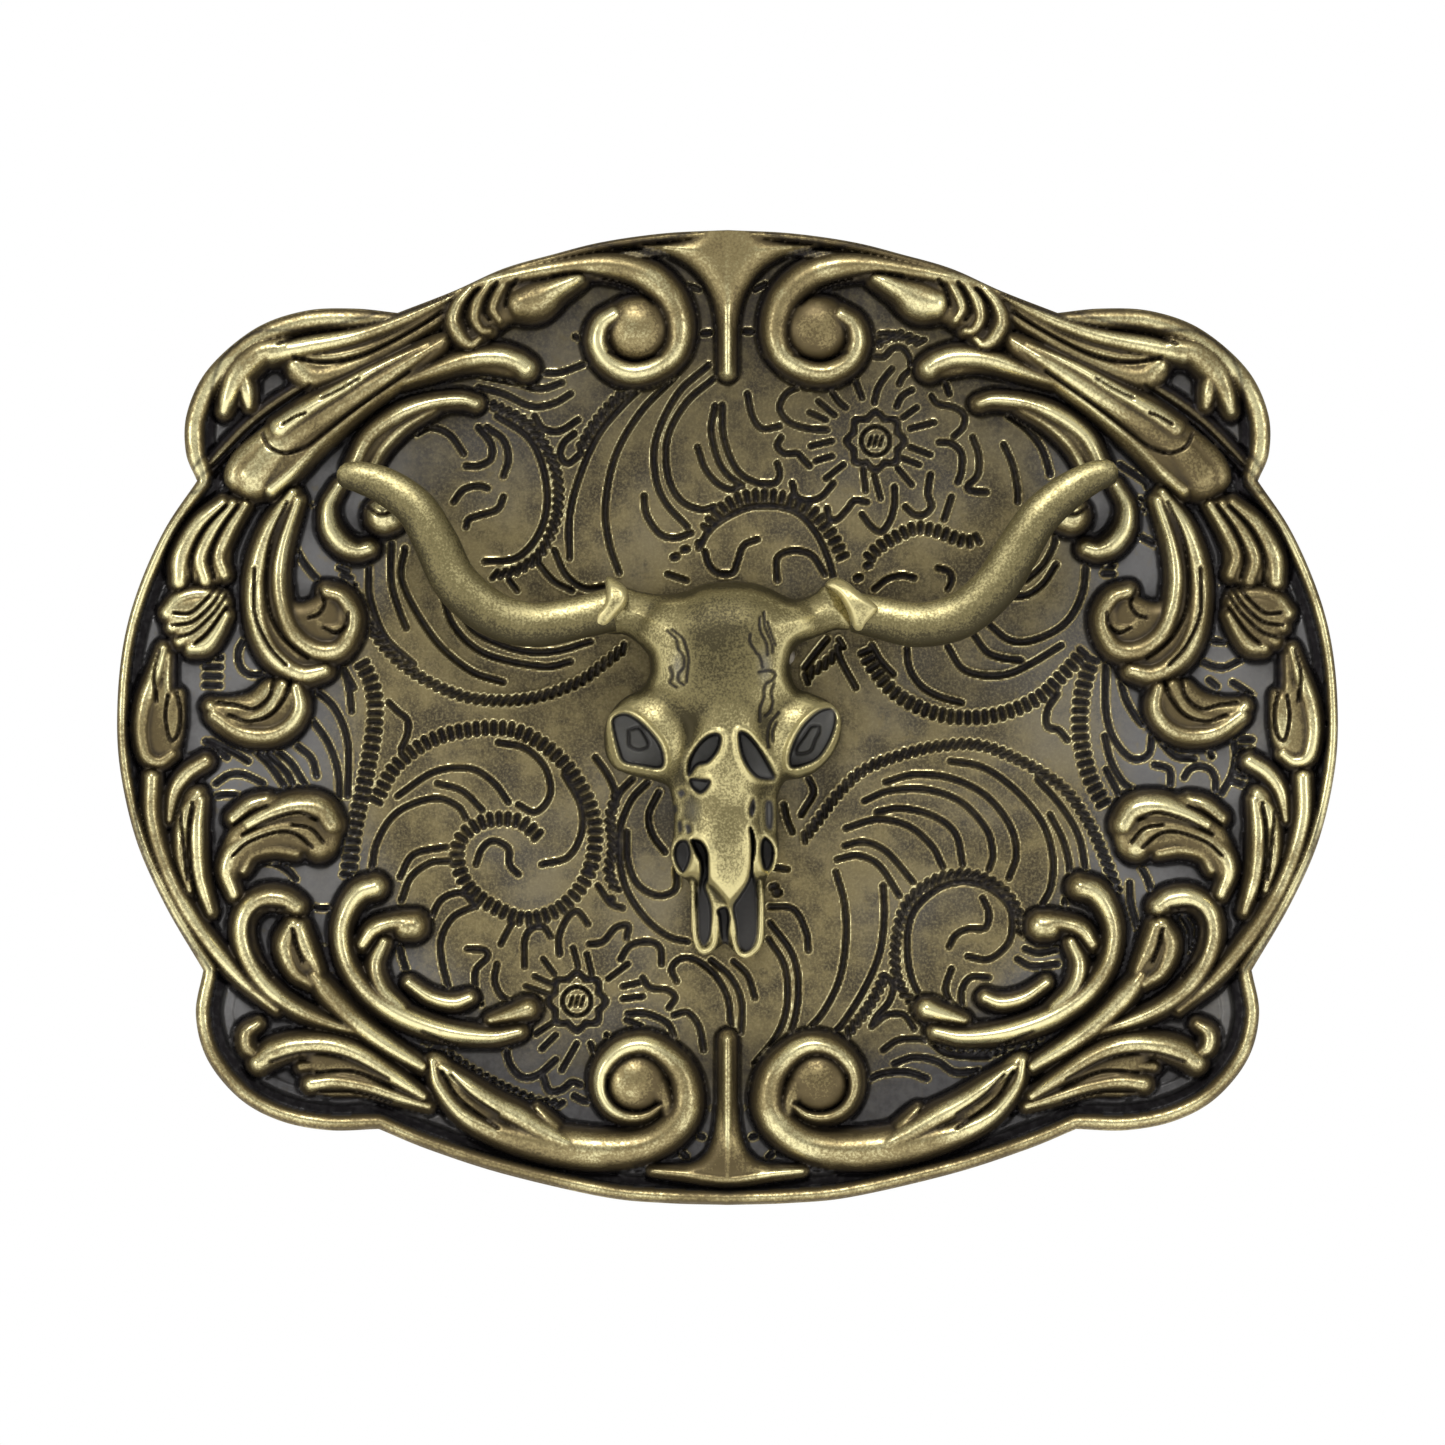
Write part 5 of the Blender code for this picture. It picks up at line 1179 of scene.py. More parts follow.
# Flowers: the centre of each, and the short cuts round them (one end, other end).
FLOWERS = [(11.9, 22.2), (-12.1, -22.8)]
FLOWER_LOBES = 8
FLOWER_RADIUS = 2.1
FLOWER_WAVE = 0.2
FLOWER_HALF = 0.27
CORE_RADIUS = 1.15
CORE_HALF = 0.13
STROKE_OFFSET = 0.45
STROKE_HALF_LENGTH = 0.4
STROKE_HALF = 0.09
PETAL_CUTS = [
    ((-12.4, -18.5), (-12, -20)), ((-11.3, -19), (-10.9, -20.6)), ((-9.6, -21), (-8, -19.8)),
    ((-14.8, -19.4), (-13.9, -20.6)), ((-15.5, -20.8), (-14.2, -21.4)), ((-16.2, -21.6), (-14.5, -22.2)),
    ((-8.4, -21.6), (-7.1, -21.3)), ((-8.4, -22.6), (-6.8, -22.4)), ((-15.4, -25.4), (-14, -24.5)),
    ((-14.9, -26.6), (-13.8, -25.5)), ((-13.3, -28.3), (-12.1, -26.2)), ((-11, -26.2), (-10.4, -27.7)),
    ((-9.7, -25.5), (-9.1, -26.1)), ((-8.1, -24.3), (-6.9, -24.8)),
    ((7.3, 25.4), (8.6, 24.3)), ((6.6, 24.5), (7.9, 23.9)), ((6.7, 21.8), (8.4, 22.2)),
    ((7.1, 20.6), (8.4, 21)), ((7.9, 19.2), (9.3, 20.3)), ((10.9, 20), (11.1, 18.2)),
    ((11.8, 19.4), (12.3, 17.6)), ((13.7, 20), (14.8, 18.7)), ((14.1, 20.8), (15.4, 20.3)),
    ((14.7, 21.7), (16.3, 21.1)), ((14.7, 23.2), (16.6, 23.7)), ((14.1, 24.1), (15.2, 24.9)),
]

# Short deep pricks in the field.
DOTS = [
    (-4.2, 12.9), (-3.4, 13.5), (-2.2, 14), (10.5, 11.2), (11.3, 12.2), (3.7, -13.6), (4.0, -14.1),
    (-9.4, -14.6), (-11.2, -12.3),
]

# ---------------------------------------------------------------------------------------------
# Plate, front


def plate_outline():
    """The whole outline as a closed loop, from the top middle round by the left."""
    left = [np.array(OUTLINE[0][:1], float)]
    for stretch in OUTLINE:
        left.append(smooth_path(stretch, 0.4)[1:])
    left = np.vstack(left)
    right = left[::-1] * (-1, 1)
    return np.vstack([left, right[1:-1]])


def draw_ridge(grid, rise_layer, crest_layer, rise, points):
    """One scroll: a low wide skirt, the ridge on it, and how near its crest each point lies."""
    grid.ridge(rise_layer, points, SKIRT_SHARE * rise, swell=SKIRT_SWELL)
    grid.ridge(rise_layer, points, rise, swell=RIDGE_SWELL)
    grid.ridge(crest_layer, points, 1.0, swell=RIDGE_SWELL, thinning=0)


def border_layers(grid):
    """Rise of the scrolls over the ground, and their crests: the left is drawn and mirrored."""
    rise_layer, crest_layer = grid.full(0), grid.full(0)
    for rise, points in BODIES:
        grid.body(rise_layer, points, rise, BODY_SHOULDER)
        grid.body(crest_layer, points, BODY_RUB, BODY_RUB_SHOULDER)
    for rise, points in BORDER:
        draw_ridge(grid, rise_layer, crest_layer, rise, points)
    rise_layer = np.maximum(rise_layer, rise_layer[:, ::-1])
    crest_layer = np.maximum(crest_layer, crest_layer[:, ::-1])
    for rise, shoulder, half in SPIKE_BODIES:
        points = half + [(-x, z) for x, z in half[-2:0:-1]]
        grid.body(rise_layer, points, rise, shoulder)
        grid.body(crest_layer, points, BODY_RUB, shoulder)
    for rise, points in SPIKES:
        draw_ridge(grid, rise_layer, crest_layer, rise, points)
    return rise_layer, crest_layer


def border_cuts(grid):
    """Distance outside the folds cut into the border's leaves."""
    edge = grid.full(LIP_REACH)
    for points in BORDER_CUTS:
        grid.engrave(edge, points, FOLD_HALF)
    return np.minimum(edge, edge[:, ::-1])


def engrave_flower(grid, edge, x, z):
    """A lobed ring with a small ring and three strokes inside."""
    rows, cols = grid.window(x, z, 3)
    dx, dz = grid.x[rows, cols] - x, grid.z[rows, cols] - z
    radius, angle = np.hypot(dx, dz), np.arctan2(dz, dx)
    wave = FLOWER_WAVE * np.cos(FLOWER_LOBES * angle)
    petals = np.abs(radius - FLOWER_RADIUS - wave) - FLOWER_HALF
    core = np.abs(radius - CORE_RADIUS) - CORE_HALF
    near = np.minimum(petals, core)
    np.minimum(edge[rows, cols], near, out=edge[rows, cols])
    for offset in (-STROKE_OFFSET, 0, STROKE_OFFSET):
        grid.dash(edge, x + offset, z, (0.3, 1), STROKE_HALF_LENGTH, STROKE_HALF)


def field_cuts(grid):
    """Distance outside the engraved lines of the field, up to the reach of their lips."""
    edge = grid.full(LIP_REACH)
    mirrored = [[(-x, z) for x, z in reversed(points)] for points in SPIKE_MARKS]
    for points in LINES + SPIKE_MARKS + mirrored:
        grid.engrave(edge, points, LINE_HALF)
    for points in CORDS:
        for (x, z), (ax, az) in zip(*even_path(points, CORD_PITCH)):
            slanting = (ax - CORD_SLANT * az, az + CORD_SLANT * ax)
            grid.dash(edge, x, z, slanting, CORD_HALF_LENGTH, CORD_HALF)
    for half_length, points in RUNGS:
        for (x, z), (ax, az) in zip(*even_path(points, RUNG_PITCH)):
            grid.dash(edge, x, z, (-az, ax), half_length, RUNG_HALF)
    for one, other in PETAL_CUTS:
        grid.engrave(edge, [one, other], PETAL_HALF)
    for x, z in FLOWERS:
        engrave_flower(grid, edge, x, z)
    for x, z in DOTS:
        grid.dash(edge, x, z, (1, 0.3), DOT_HALF_LENGTH, DOT_HALF)
    return edge


def rim_width(grid):
    """Widest at the lobes, above all the upper two, and narrow at the sides and top middle."""
    aside, up = np.abs(grid.x), np.abs(grid.z)
    lobe = rising(aside, 26, 4) * rising(up, 17, 5)
    top = falling(aside, 25, 4) * (grid.z > 30)
    plain = 0.90 + 0.30 * np.clip(up / 36, 0, 1) ** 2
    return plain + 0.45 * lobe * (grid.z > 0) + 0.15 * lobe - 0.5 * top


def front_layers(grid):
    """What the front's shape and paints come from: distances, and shares of 0 to 1."""
    face = SimpleNamespace()
    face.inside = distance_inside(grid, plate_outline())
    face.scrolls, face.crest = border_layers(grid)
    face.raised = face.scrolls > LOWEST_RISE
    beside = blurred(face.raised.astype(float), 0.24 / STEP)
    face.moat = np.where(face.raised, 0, rising(beside, 0.04, 0.22))

    width, aside = rim_width(grid), np.abs(grid.x)
    face.across_rim = np.clip(face.inside / width, 0, 1)
    past_rim = face.inside - width
    face.on_rim = past_rim < 0
    face.groove = rising(past_rim, -0.1, 0.2) * falling(past_rim, GROOVE_WIDTH, 0.25)
    starting = falling(grid.z, -18, 6) * rising(past_rim, GROOVE_WIDTH, 0.2)
    face.step = starting * falling(past_rim, GROOVE_WIDTH + STEP_WIDTH, 0.25)
    starting = rising(grid.z, 31.5, 2) * falling(aside, 27.5, 2) * rising(past_rim, 0.22, 0.2)
    face.band = starting * falling(past_rim, BAND_WIDTH, 0.25)

    from_middle = np.hypot(grid.x / FIELD_RADIUS, grid.z / FIELD_RADIUS)
    face.beyond = rising(from_middle, 0.90, 0.20)
    face.upper = rising(grid.z, 13, 12) * falling(aside, 29, 5)
    cuts = np.where(face.raised, LIP_REACH, field_cuts(grid) + face.moat * LIP_REACH)
    cuts = np.where(past_rim < GROOVE_WIDTH, LIP_REACH, cuts)
    face.cut = falling(cuts, 0.10, 0.2)
    face.lip = rising(cuts, 0.02, 0.14) * falling(cuts, LIP_REACH - 0.06, 0.26)
    face.fold = falling(border_cuts(grid), 0.09, 0.2) * face.raised
    return face


def front_height(face):
    """Height of the front, and where scrollwork stands over the ground and the rim."""
    base = FIELD + (GROUND - FIELD) * face.beyond + STEP_RISE * face.step + BAND_RISE * face.band
    base = base - MOAT_DEPTH * face.moat
    base += LIP_RISE * face.lip - LINE_DEPTH * face.cut
    bead = RIM_FOOT + (RIM_TOP - RIM_FOOT) * np.sqrt(1 - (2 * face.across_rim - 1) ** 2)
    base = np.where(face.on_rim, bead, base - GROOVE_DEPTH * face.groove * (1 - face.band))
    top = GROUND + face.scrolls - FOLD_DEPTH * face.fold
    over = face.raised & (top > base)
    return np.where(over, top, base), over


def front_wear_and_highlight(grid, face, over, swell, crease):
    """Rubbed bright on the scrolls' crests, the lips of the cuts and the middle of the rim, with a
    painted highlight added on the lips and on the rim's left and right sides.
    """
    aside = np.abs(grid.x)
    rubbed = CREST_WEAR * rising(face.crest, 0.60, 0.40) + SWELL_WEAR * np.clip(swell / 0.9, -1, 1)
    creased = CREASE_WEAR * np.clip(crease / 0.2, -1, 1)
    wear_and_painted_light = GROUND_WEAR + over * (rubbed + creased) + BAND_WEAR * face.band * ~over
    # Rub and a painted highlight on the lips of the cuts.
    wear_and_painted_light += LIP_WEAR_AND_HIGHLIGHT * face.lip * (1 - face.cut)
    crown = RIM_WEAR * (1 - np.abs(2 * face.across_rim - 1) ** 1.3)
    # Painted highlight on the rim's left and right sides.
    side = RIM_SIDE_HIGHLIGHT * rising(aside, 36, 8)
    dull_top = RIM_TOP_LOSS * rising(grid.z, 33, 2) * falling(aside, 28, 4)
    wear_and_painted_light += face.on_rim * ~over * (crown - RIM_EDGE_LOSS + side - dull_top)
    return np.clip(wear_and_painted_light, 0, 1)


def front_soot_and_shade(grid, face, over, crease):
    """Black patina in every cut and groove, patina and painted shadow in the moat, painted shade in
    creases and on ground crowded by scrolls, and darker ground in the upper field and by the two
    spikes.
    """
    plain = ~over
    # The moat round the scrolls is patina and painted shadow.
    soot_and_shade = np.maximum.reduce([
        face.cut, MOAT_PATINA_AND_SHADOW * face.moat * plain, face.groove * (1 - face.band) * plain,
        FOLD_SOOT * face.fold,
    ])
    soot_and_shade = np.maximum(soot_and_shade, over * falling(face.scrolls, 0.85, 0.6))
    # Painted shade in the creases at the foot of each ridge.
    soot_and_shade = np.maximum(soot_and_shade, over * CREASE_SHADE * falling(crease, -0.02, 0.12))
    # Painted shade on the ground crowded by scrolls.
    crowded = blurred(face.raised.astype(float), 1.1 / STEP)
    soot_and_shade = np.maximum(soot_and_shade, ~face.raised * CROWDED_SHADE * rising(crowded, 0.25, 0.5))
    # A darker ground in the upper field, by the top middle and along the bottom.
    top_middle = rising(grid.z, 23, 7) * falling(np.abs(grid.x), 17, 9)
    low_middle = falling(grid.z, -22, 7)
    region_darkening = np.maximum.reduce([
        UPPER_DARKENING * face.upper, TOP_MIDDLE_DARKENING * top_middle, LOW_MIDDLE_DARKENING * low_middle,
    ])
    soot_and_shade = np.maximum(soot_and_shade, ~face.raised * ~face.on_rim * (1 - face.band) * region_darkening)
    return np.clip(blurred(soot_and_shade, 0.8), 0, 1)


def make_plate_front():
    """The decorated front of the casting, down to the parting line."""
    grid = even_grid(-49.5, 49.5, -39.5, 39.5, STEP)
    face = front_layers(grid)
    height, over = front_height(face)
    swell = height - blurred(height, 1.4 / STEP)
    crease = height - blurred(height, 0.35 / STEP)
    grey = np.maximum(face.beyond * (1 - 0.9 * face.upper), 0.8 * face.step)
    paints = {
        "wear_and_painted_light": front_wear_and_highlight(grid, face, over, swell, crease),
        "scroll": np.maximum(over | face.on_rim, 0.75 * face.lip),
        "soot_and_shade": front_soot_and_shade(grid, face, over, crease),
        "grey": np.where(over, 0, grey),
    }
    front = relief_mesh("plate_front", grid, height, face.inside - EDGE_INSET, PARTING, paints,
                        fan_lid=True)
    add_piece(front, antique_brass("plate_brass"), "buckle", "face_plate")


# ---------------------------------------------------------------------------------------------
# Plate, back, with its lugs and the stud's boss

BACK_STEP = 0.22
POCKET = 0.7
LIP_WIDTH = 4.0
EDGE_ROUND = 0.5
PAD_RADIUS = 3.5
STUD_X = -30.0
BOSS_RADIUS = 4.6
BOSS_RISE = 0.6
PIN_X = 24.0
PIN_Y = 5.6
PIN_RADIUS = 1.2
BORE_RADIUS = PIN_RADIUS + 0.12
LUG_MIDDLE = 21.0
LUG_WIDTH = 3.0
LUG_RADIUS = 2.9
LUG_FOOT = 5.2
FILLET_RADIUS = 0.9
FILLET_RISE = 0.6
GAP = 0.3
EYE_WIDTH = 3.0
EYE_LOW = LUG_MIDDLE + LUG_WIDTH / 2 + GAP
EYE_HIGH = EYE_LOW + EYE_WIDTH


def fillet(distance, radius):
    """Height of a concave fillet at DISTANCE outside the foot of a wall."""
    t = np.clip(distance / radius, 0, 1)
    return 1 - np.sqrt(1 - (1 - t) ** 2)


def make_plate_back():
    """The plain back: a lip round a shallow pocket, the middle pad and a boss for the stud.

    It is drawn as a relief seen from behind, so its x runs the other way, then turned round.
    """
    grid = even_grid(-49.7, 49.7, -39.9, 39.9, BACK_STEP)
    inside = distance_inside(grid, plate_outline())
    edge_round = EDGE_ROUND * (1 - np.sqrt(1 - np.clip(1 - inside / 0.6, 0, 1) ** 2))
    pocket = rising(inside, LIP_WIDTH, 0.9)
    from_pad = np.hypot(grid.x, grid.z) - PAD_RADIUS
    pad = falling(from_pad, 0, 0.7)
    height = -edge_round - POCKET * np.clip(pocket - pad, 0, 1)
    from_boss = np.hypot(grid.x + STUD_X, grid.z) - BOSS_RADIUS
    boss = falling(from_boss, 0.45, 0.9)
    height = height + (BOSS_RISE - height) * boss
    for z in (LUG_MIDDLE, -LUG_MIDDLE):
        away = np.hypot(np.clip(np.abs(grid.x + PIN_X) - LUG_FOOT, 0, None),
                        np.clip(np.abs(grid.z - z) - LUG_WIDTH / 2, 0, None))
        foot = FILLET_RISE * fillet(away, FILLET_RADIUS) * (away < FILLET_RADIUS)
        height = np.maximum(height, -POCKET + foot)
    ripple = np.sin(0.9 * grid.x + 1.7 * np.sin(0.35 * grid.z)) * np.sin(0.8 * grid.z + 1.3)
    height = height + 0.02 * ripple * pocket
    swell = height - blurred(height, 1.2 / BACK_STEP)
    wear_and_painted_light = np.clip(0.52 + 0.5 * np.clip(swell / 0.2, -1, 1), 0, 1)
    soot_and_shade = 0.55 * falling(swell, 0, 0.16)
    paints = {"wear_and_painted_light": wear_and_painted_light, "scroll": 1 - 0.5 * pocket, "soot_and_shade": soot_and_shade, "grey": 0.5 * pocket}
    back = relief_mesh("plate_back", grid, height, inside - EDGE_INSET, -PARTING - 0.05, paints)
    back.data.transform(Matrix.Rotation(math.pi, 4, "Z"))
    add_piece(back, antique_brass("plate_back_brass"), "buckle", "face_plate")


# Section of the plate's edge: distance in from the outline, height over the back, and wear.
# The first and the last point lie hidden inside the plate.
EDGE_SECTION = [
    (0.8, 0.4, 0.4), (0.3, 0.12, 0.5), (0.12, 0.18, 0.62), (0.03, 0.38, 0.66), (0, 0.7, 0.5),
    (0, 1.3, 0.42), (0, 2.0, 0.42), (0, 2.7, 0.48), (0.03, 3.15, 0.58), (0.12, 3.40, 0.6),
    (0.22, 3.44, 0.5), (0.8, 2.5, 0.4),
]


def make_plate_edge(material):
    """A smooth band round the outline that closes the seam between the front and the back."""
    outline = plate_outline()
    ahead = np.roll(outline, -1, axis=0) - np.roll(outline, 1, axis=0)
    ahead /= np.linalg.norm(ahead, axis=1)[:, None]
    outward = np.stack([ahead[:, 1], -ahead[:, 0]], axis=1)
    verts = []
    for inset, height, _ in EDGE_SECTION:
        ring = outline - inset * outward
        verts += [(x, -height, z) for x, z in ring]
    faces = loft(len(EDGE_SECTION), len(outline), rings_close=True)
    edge = new_piece("plate_edge", verts, faces, 60)
    paint_all(edge, np.repeat([worn for _, _, worn in EDGE_SECTION], len(outline)))
    add_piece(edge, material, "buckle", "face_plate")


# A lug's side view as (angle in degrees, distance from the pin's axis): its foot points down.
LUG_SHAPE = [
    (-180, LUG_RADIUS), (-172, LUG_RADIUS), (-158, 3.05), (-146, 3.6), (-138, 4.6), (-131, 6.3),
    (-127, 8.2), (-124, 7.8), (-110, 6.9), (-90, 6.5), (-70, 6.9), (-56, 7.8), (-53, 8.2),
    (-49, 6.3), (-42, 4.6), (-34, 3.6), (-22, 3.05), (-8, LUG_RADIUS), (180, LUG_RADIUS),
]


def lug_radius(angle):
    """Distance from the pin's axis to the lug's outside at an ANGLE in radians."""
    degrees = (math.degrees(angle) + 180) % 360 - 180
    return float(np.interp(degrees, *zip(*LUG_SHAPE)))


def make_lugs(material):
    """The two lugs that carry the pin."""
    half = LUG_WIDTH / 2
    for name, z in {"lug_upper": LUG_MIDDLE, "lug_lower": -LUG_MIDDLE}.items():
        lug = ring_solid(name, lug_radius, BORE_RADIUS, -half, half, 0.25, sides=144)
        move(lug, PIN_X, PIN_Y, z)
        add_piece(lug, material, "buckle", "face_plate")


# ---------------------------------------------------------------------------------------------
# Belt hardware


def bail_path():
    """Middle line of the loop: out along the upper arm, round, down the bar and back."""
    middle_z, bar_x, corner = (EYE_LOW + EYE_HIGH) / 2, 39.6, 2.6
    turn_x, turn_z = bar_x - corner, middle_z - corner
    upper = [(x, middle_z) for x in np.linspace(PIN_X + 1.9, turn_x, 24)]
    for angle in np.radians(np.linspace(0, 90, 12)[1:]):
        upper.append((turn_x + corner * math.sin(angle), turn_z + corner * math.cos(angle)))
    bar = [(bar_x, z) for z in np.linspace(turn_z, -turn_z, 40)[1:-1]]
    return upper + bar + [(x, -z) for x, z in reversed(upper)]


def make_bail(material):
    """The belt loop: a bent bar with an eye at each end."""
    bail = move(swept("bail_loop", bail_path(), 1.5, 1.15), 0, PIN_Y, 0)
    for z in (EYE_LOW, -EYE_HIGH):
        eye = ring_solid("eye", lambda angle: LUG_RADIUS, BORE_RADIUS, z, z + EYE_WIDTH, 0.3)
        combine(bail, move(eye, PIN_X, PIN_Y, 0), "UNION")
    smooth_by_angle(bail, 35)
    paint_all(bail, 0.66)
    add_piece(bail, material, "bail", "bail")


def make_pin(material):
    """The headed pin through lugs and eyes, and the push-on ring over its upper end."""
    low, top = -EYE_HIGH - GAP, 27.7
    head = [
        (0, low - 0.9), (1.1, low - 0.88), (1.7, low - 0.75), (2.02, low - 0.5), (2.1, low - 0.25),
        (2.1, low),
    ]
    shaft = [
        (PIN_RADIUS, low), (PIN_RADIUS, top - 0.35), (PIN_RADIUS - 0.12, top - 0.1),
        (PIN_RADIUS - 0.35, top), (0, top),
    ]
    pin = move(turned("bail_pin", head + shaft), PIN_X, PIN_Y, 0)
    add_piece(pin, material, "buckle", "bail_pin")
    start, bore = EYE_HIGH + GAP, PIN_RADIUS + 0.03
    ring = [
        (bore, start + 0.12), (1.4, start), (2.15, start), (2.3, start + 0.15),
        (2.3, start + 0.32), (2.05, start + 0.5), (1.75, start + 0.66), (bore, start + 0.7),
    ]
    keeper = move(turned("pin_ring", ring), PIN_X, PIN_Y, 0)
    add_piece(keeper, material, "buckle", "bail_pin_ring")


# Post of the stud, over its flange: radius and height.
POST = [
    (0, 0.5), (2.5, 0.5), (2.35, 1.05), (2.0, 1.35), (1.85, 1.8), (1.8, 2.6), (1.8, 3.7),
    (1.9, 4.2), (2.25, 4.65), (2.4, 5.0), (2.36, 5.35), (2.2, 5.7), (1.85, 5.98), (1.3, 6.14),
    (0.6, 6.2), (0, 6.2),
]
POST_LEAN = 16


def make_stud(material):
    """Flange with a leaning post whose round head holds the strap's hole, and its shank."""
    seat = BOSS_RISE + GAP
    flange = [
        (0, seat), (3.75, seat), (3.9, seat + 0.15), (3.9, seat + 0.55), (3.7, seat + 0.8),
        (3.3, seat + 0.95), (2.6, seat + 1.0), (0, seat + 1.0),
    ]
    stud = move(turned("hook_stud", flange, 64), STUD_X, 0, 0, BACKWARDS)
    lean = Matrix.Rotation(math.radians(POST_LEAN), 4, "Z")
    peg = move(turned("post", POST, 64), STUD_X, seat, 0, lean @ BACKWARDS)
    combine(stud, peg, "UNION")
    smooth_by_angle(stud, 35)
    paint_all(stud, 0.68)
    add_piece(stud, material, "buckle", "hook_stud")
    shank = [
        (0, seat - 1.5), (1.15, seat - 1.5), (1.2, seat - 1.4), (1.2, seat + 0.1), (0, seat + 0.1),
    ]
    rivet = move(turned("stud_shank", shank), STUD_X, 0, 0, BACKWARDS)
    paint_all(rivet, 0.6)
    add_piece(rivet, material, "buckle", "hook_stud")


# Screws that hold the badge: x, z and the angle at which the slot has stopped.
SCREWS = {"left": (-4.5, 5.0, 20), "right": (4.5, 5.0, -35), "lower": (0.0, -7.0, 70)}
WASHER_THICK = 0.5
SLOT_HALF = 0.25
SLOT_FLOOR = 0.62


def make_screws(material):
    """Slotted pan-head screws on their washers."""
    seat = GAP - POCKET
    under = seat + WASHER_THICK + GAP
    washer_section = [
        (1.1, seat), (2.3, seat), (2.4, seat + 0.1), (2.4, seat + 0.38),
        (2.25, seat + WASHER_THICK), (1.1, seat + WASHER_THICK),
    ]
    shank = [(0, -5.6), (0.5, -5.6), (0.9, -5.2), (0.9, under)]
    head = [
        (1.72, under), (1.8, under + 0.08), (1.8, under + 0.55), (1.72, under + 0.8),
        (1.5, under + 0.98), (1.1, under + 1.08), (0, under + 1.1),
    ]
    for side, (x, z, turn) in SCREWS.items():
        washer = move(turned(f"washer_{side}", washer_section), x, 0, z, BACKWARDS)
        add_piece(washer, material, "buckle", f"badge_washer_{side}")
        screw = move(turned(f"screw_{side}", shank + head), x, 0, z, BACKWARDS)
        slot = bar_block((-2.5, under + SLOT_FLOOR, -SLOT_HALF), (2.5, under + 2, SLOT_HALF))
        move(slot, x, 0, z, Matrix.Rotation(math.radians(turn), 4, "Y"))
        combine(screw, slot, "DIFFERENCE")
        smooth_by_angle(screw, 35)
        add_piece(screw, material, "buckle", f"badge_screw_{side}")


# ---------------------------------------------------------------------------------------------
# Skull badge

SKULL_STEP = 0.1
BADGE_FLOOR = 2.3
SKULL_EDGE = 4.3
SKULL_ROUND = 3.6
SKULL_RISE = 2.3
CREST_RISE = 1.2
CRACK_HALF = 0.12
CRACK_DEPTH = 0.16

# Domes of the skull: x, z, the two radii, the lean in degrees, the rise and its fullness.
DOMES = {
    "forehead": (0.2, 5.2, (7.6, 6.2), 0, 2.6, 0.75),
    "nose": (0.1, -1.5, (3.1, 9.0), 0, 2.2, 0.8),
    "muzzle": (-0.3, -9.5, (3.0, 6.5), 0, 1.5, 0.8),
    "left brow": (-6.7, -1.6, (3.6, 3.9), -8, 1.5, 0.5),
    "right brow": (6.3, -1.5, (3.5, 4.0), 16, 1.5, 0.5),
}

# Patches where the skull's plating is worn to grey: x, z, how much taller than wide, the
# radius and the width of the fade at its edge.
BARE_PATCHES = [(-4, 4, 2.2, 0.9, 1.2), (3, 4, 2.6, 0.9, 1.2), (-2.8, -7.5, 1.8, 1.0, 1.4)]

SKULL_OUTLINE = [
    (-9.3, 10.6), (-8.0, 10.4), (-7, 10.1), (-5.3, 9.9), (-3.5, 10.1), (-2, 10.7), (0, 10.9),
    (2, 10.8), (3.5, 10.3), (5, 9.6), (6, 9.6), (7, 10), (7.8, 10.6), (9.2, 10.6), (10.2, 9.2),
    (10, 7.2), (8.6, 7.0), (7, 6.4), (5.7, 5.8), (5.2, 4.7), (5.1, 3.5), (5.6, 2.4), (6.6, 2.0),
    (8.1, 1.3), (9.0, 0.3), (9.1, -1.2), (8.7, -2.5), (8.0, -3.5), (7.0, -4.4), (5.8, -4.9),
    (4.7, -5.1), (4.1, -6.2), (4.0, -8.3), (4.1, -10.3), (3.8, -12.0), (3.1, -13.0), (3.0, -15.5),
    (3.0, -17.7), (2.4, -18.9), (1.4, -19.3), (0.5, -18.8), (-0.2, -18.2), (-1.0, -18.7),
    (-2.0, -19.0), (-2.7, -18.3), (-3.0, -16.5), (-3.0, -13.6), (-4.1, -12.4), (-4.6, -11),
    (-4.4, -9.6), (-4.3, -8), (-4.6, -6), (-5.2, -5.3), (-7.5, -4.7), (-9.0, -4.1), (-9.7, -3.1),
    (-9.9, -1.7), (-9.7, -0.3), (-9.0, 0.9), (-8.1, 1.7), (-7.1, 2.2), (-6.5, 2.9), (-6.2, 3.9),
    (-6.4, 5), (-7.2, 5.9), (-8.2, 6.6), (-10, 6.9), (-10.4, 8.6),
]

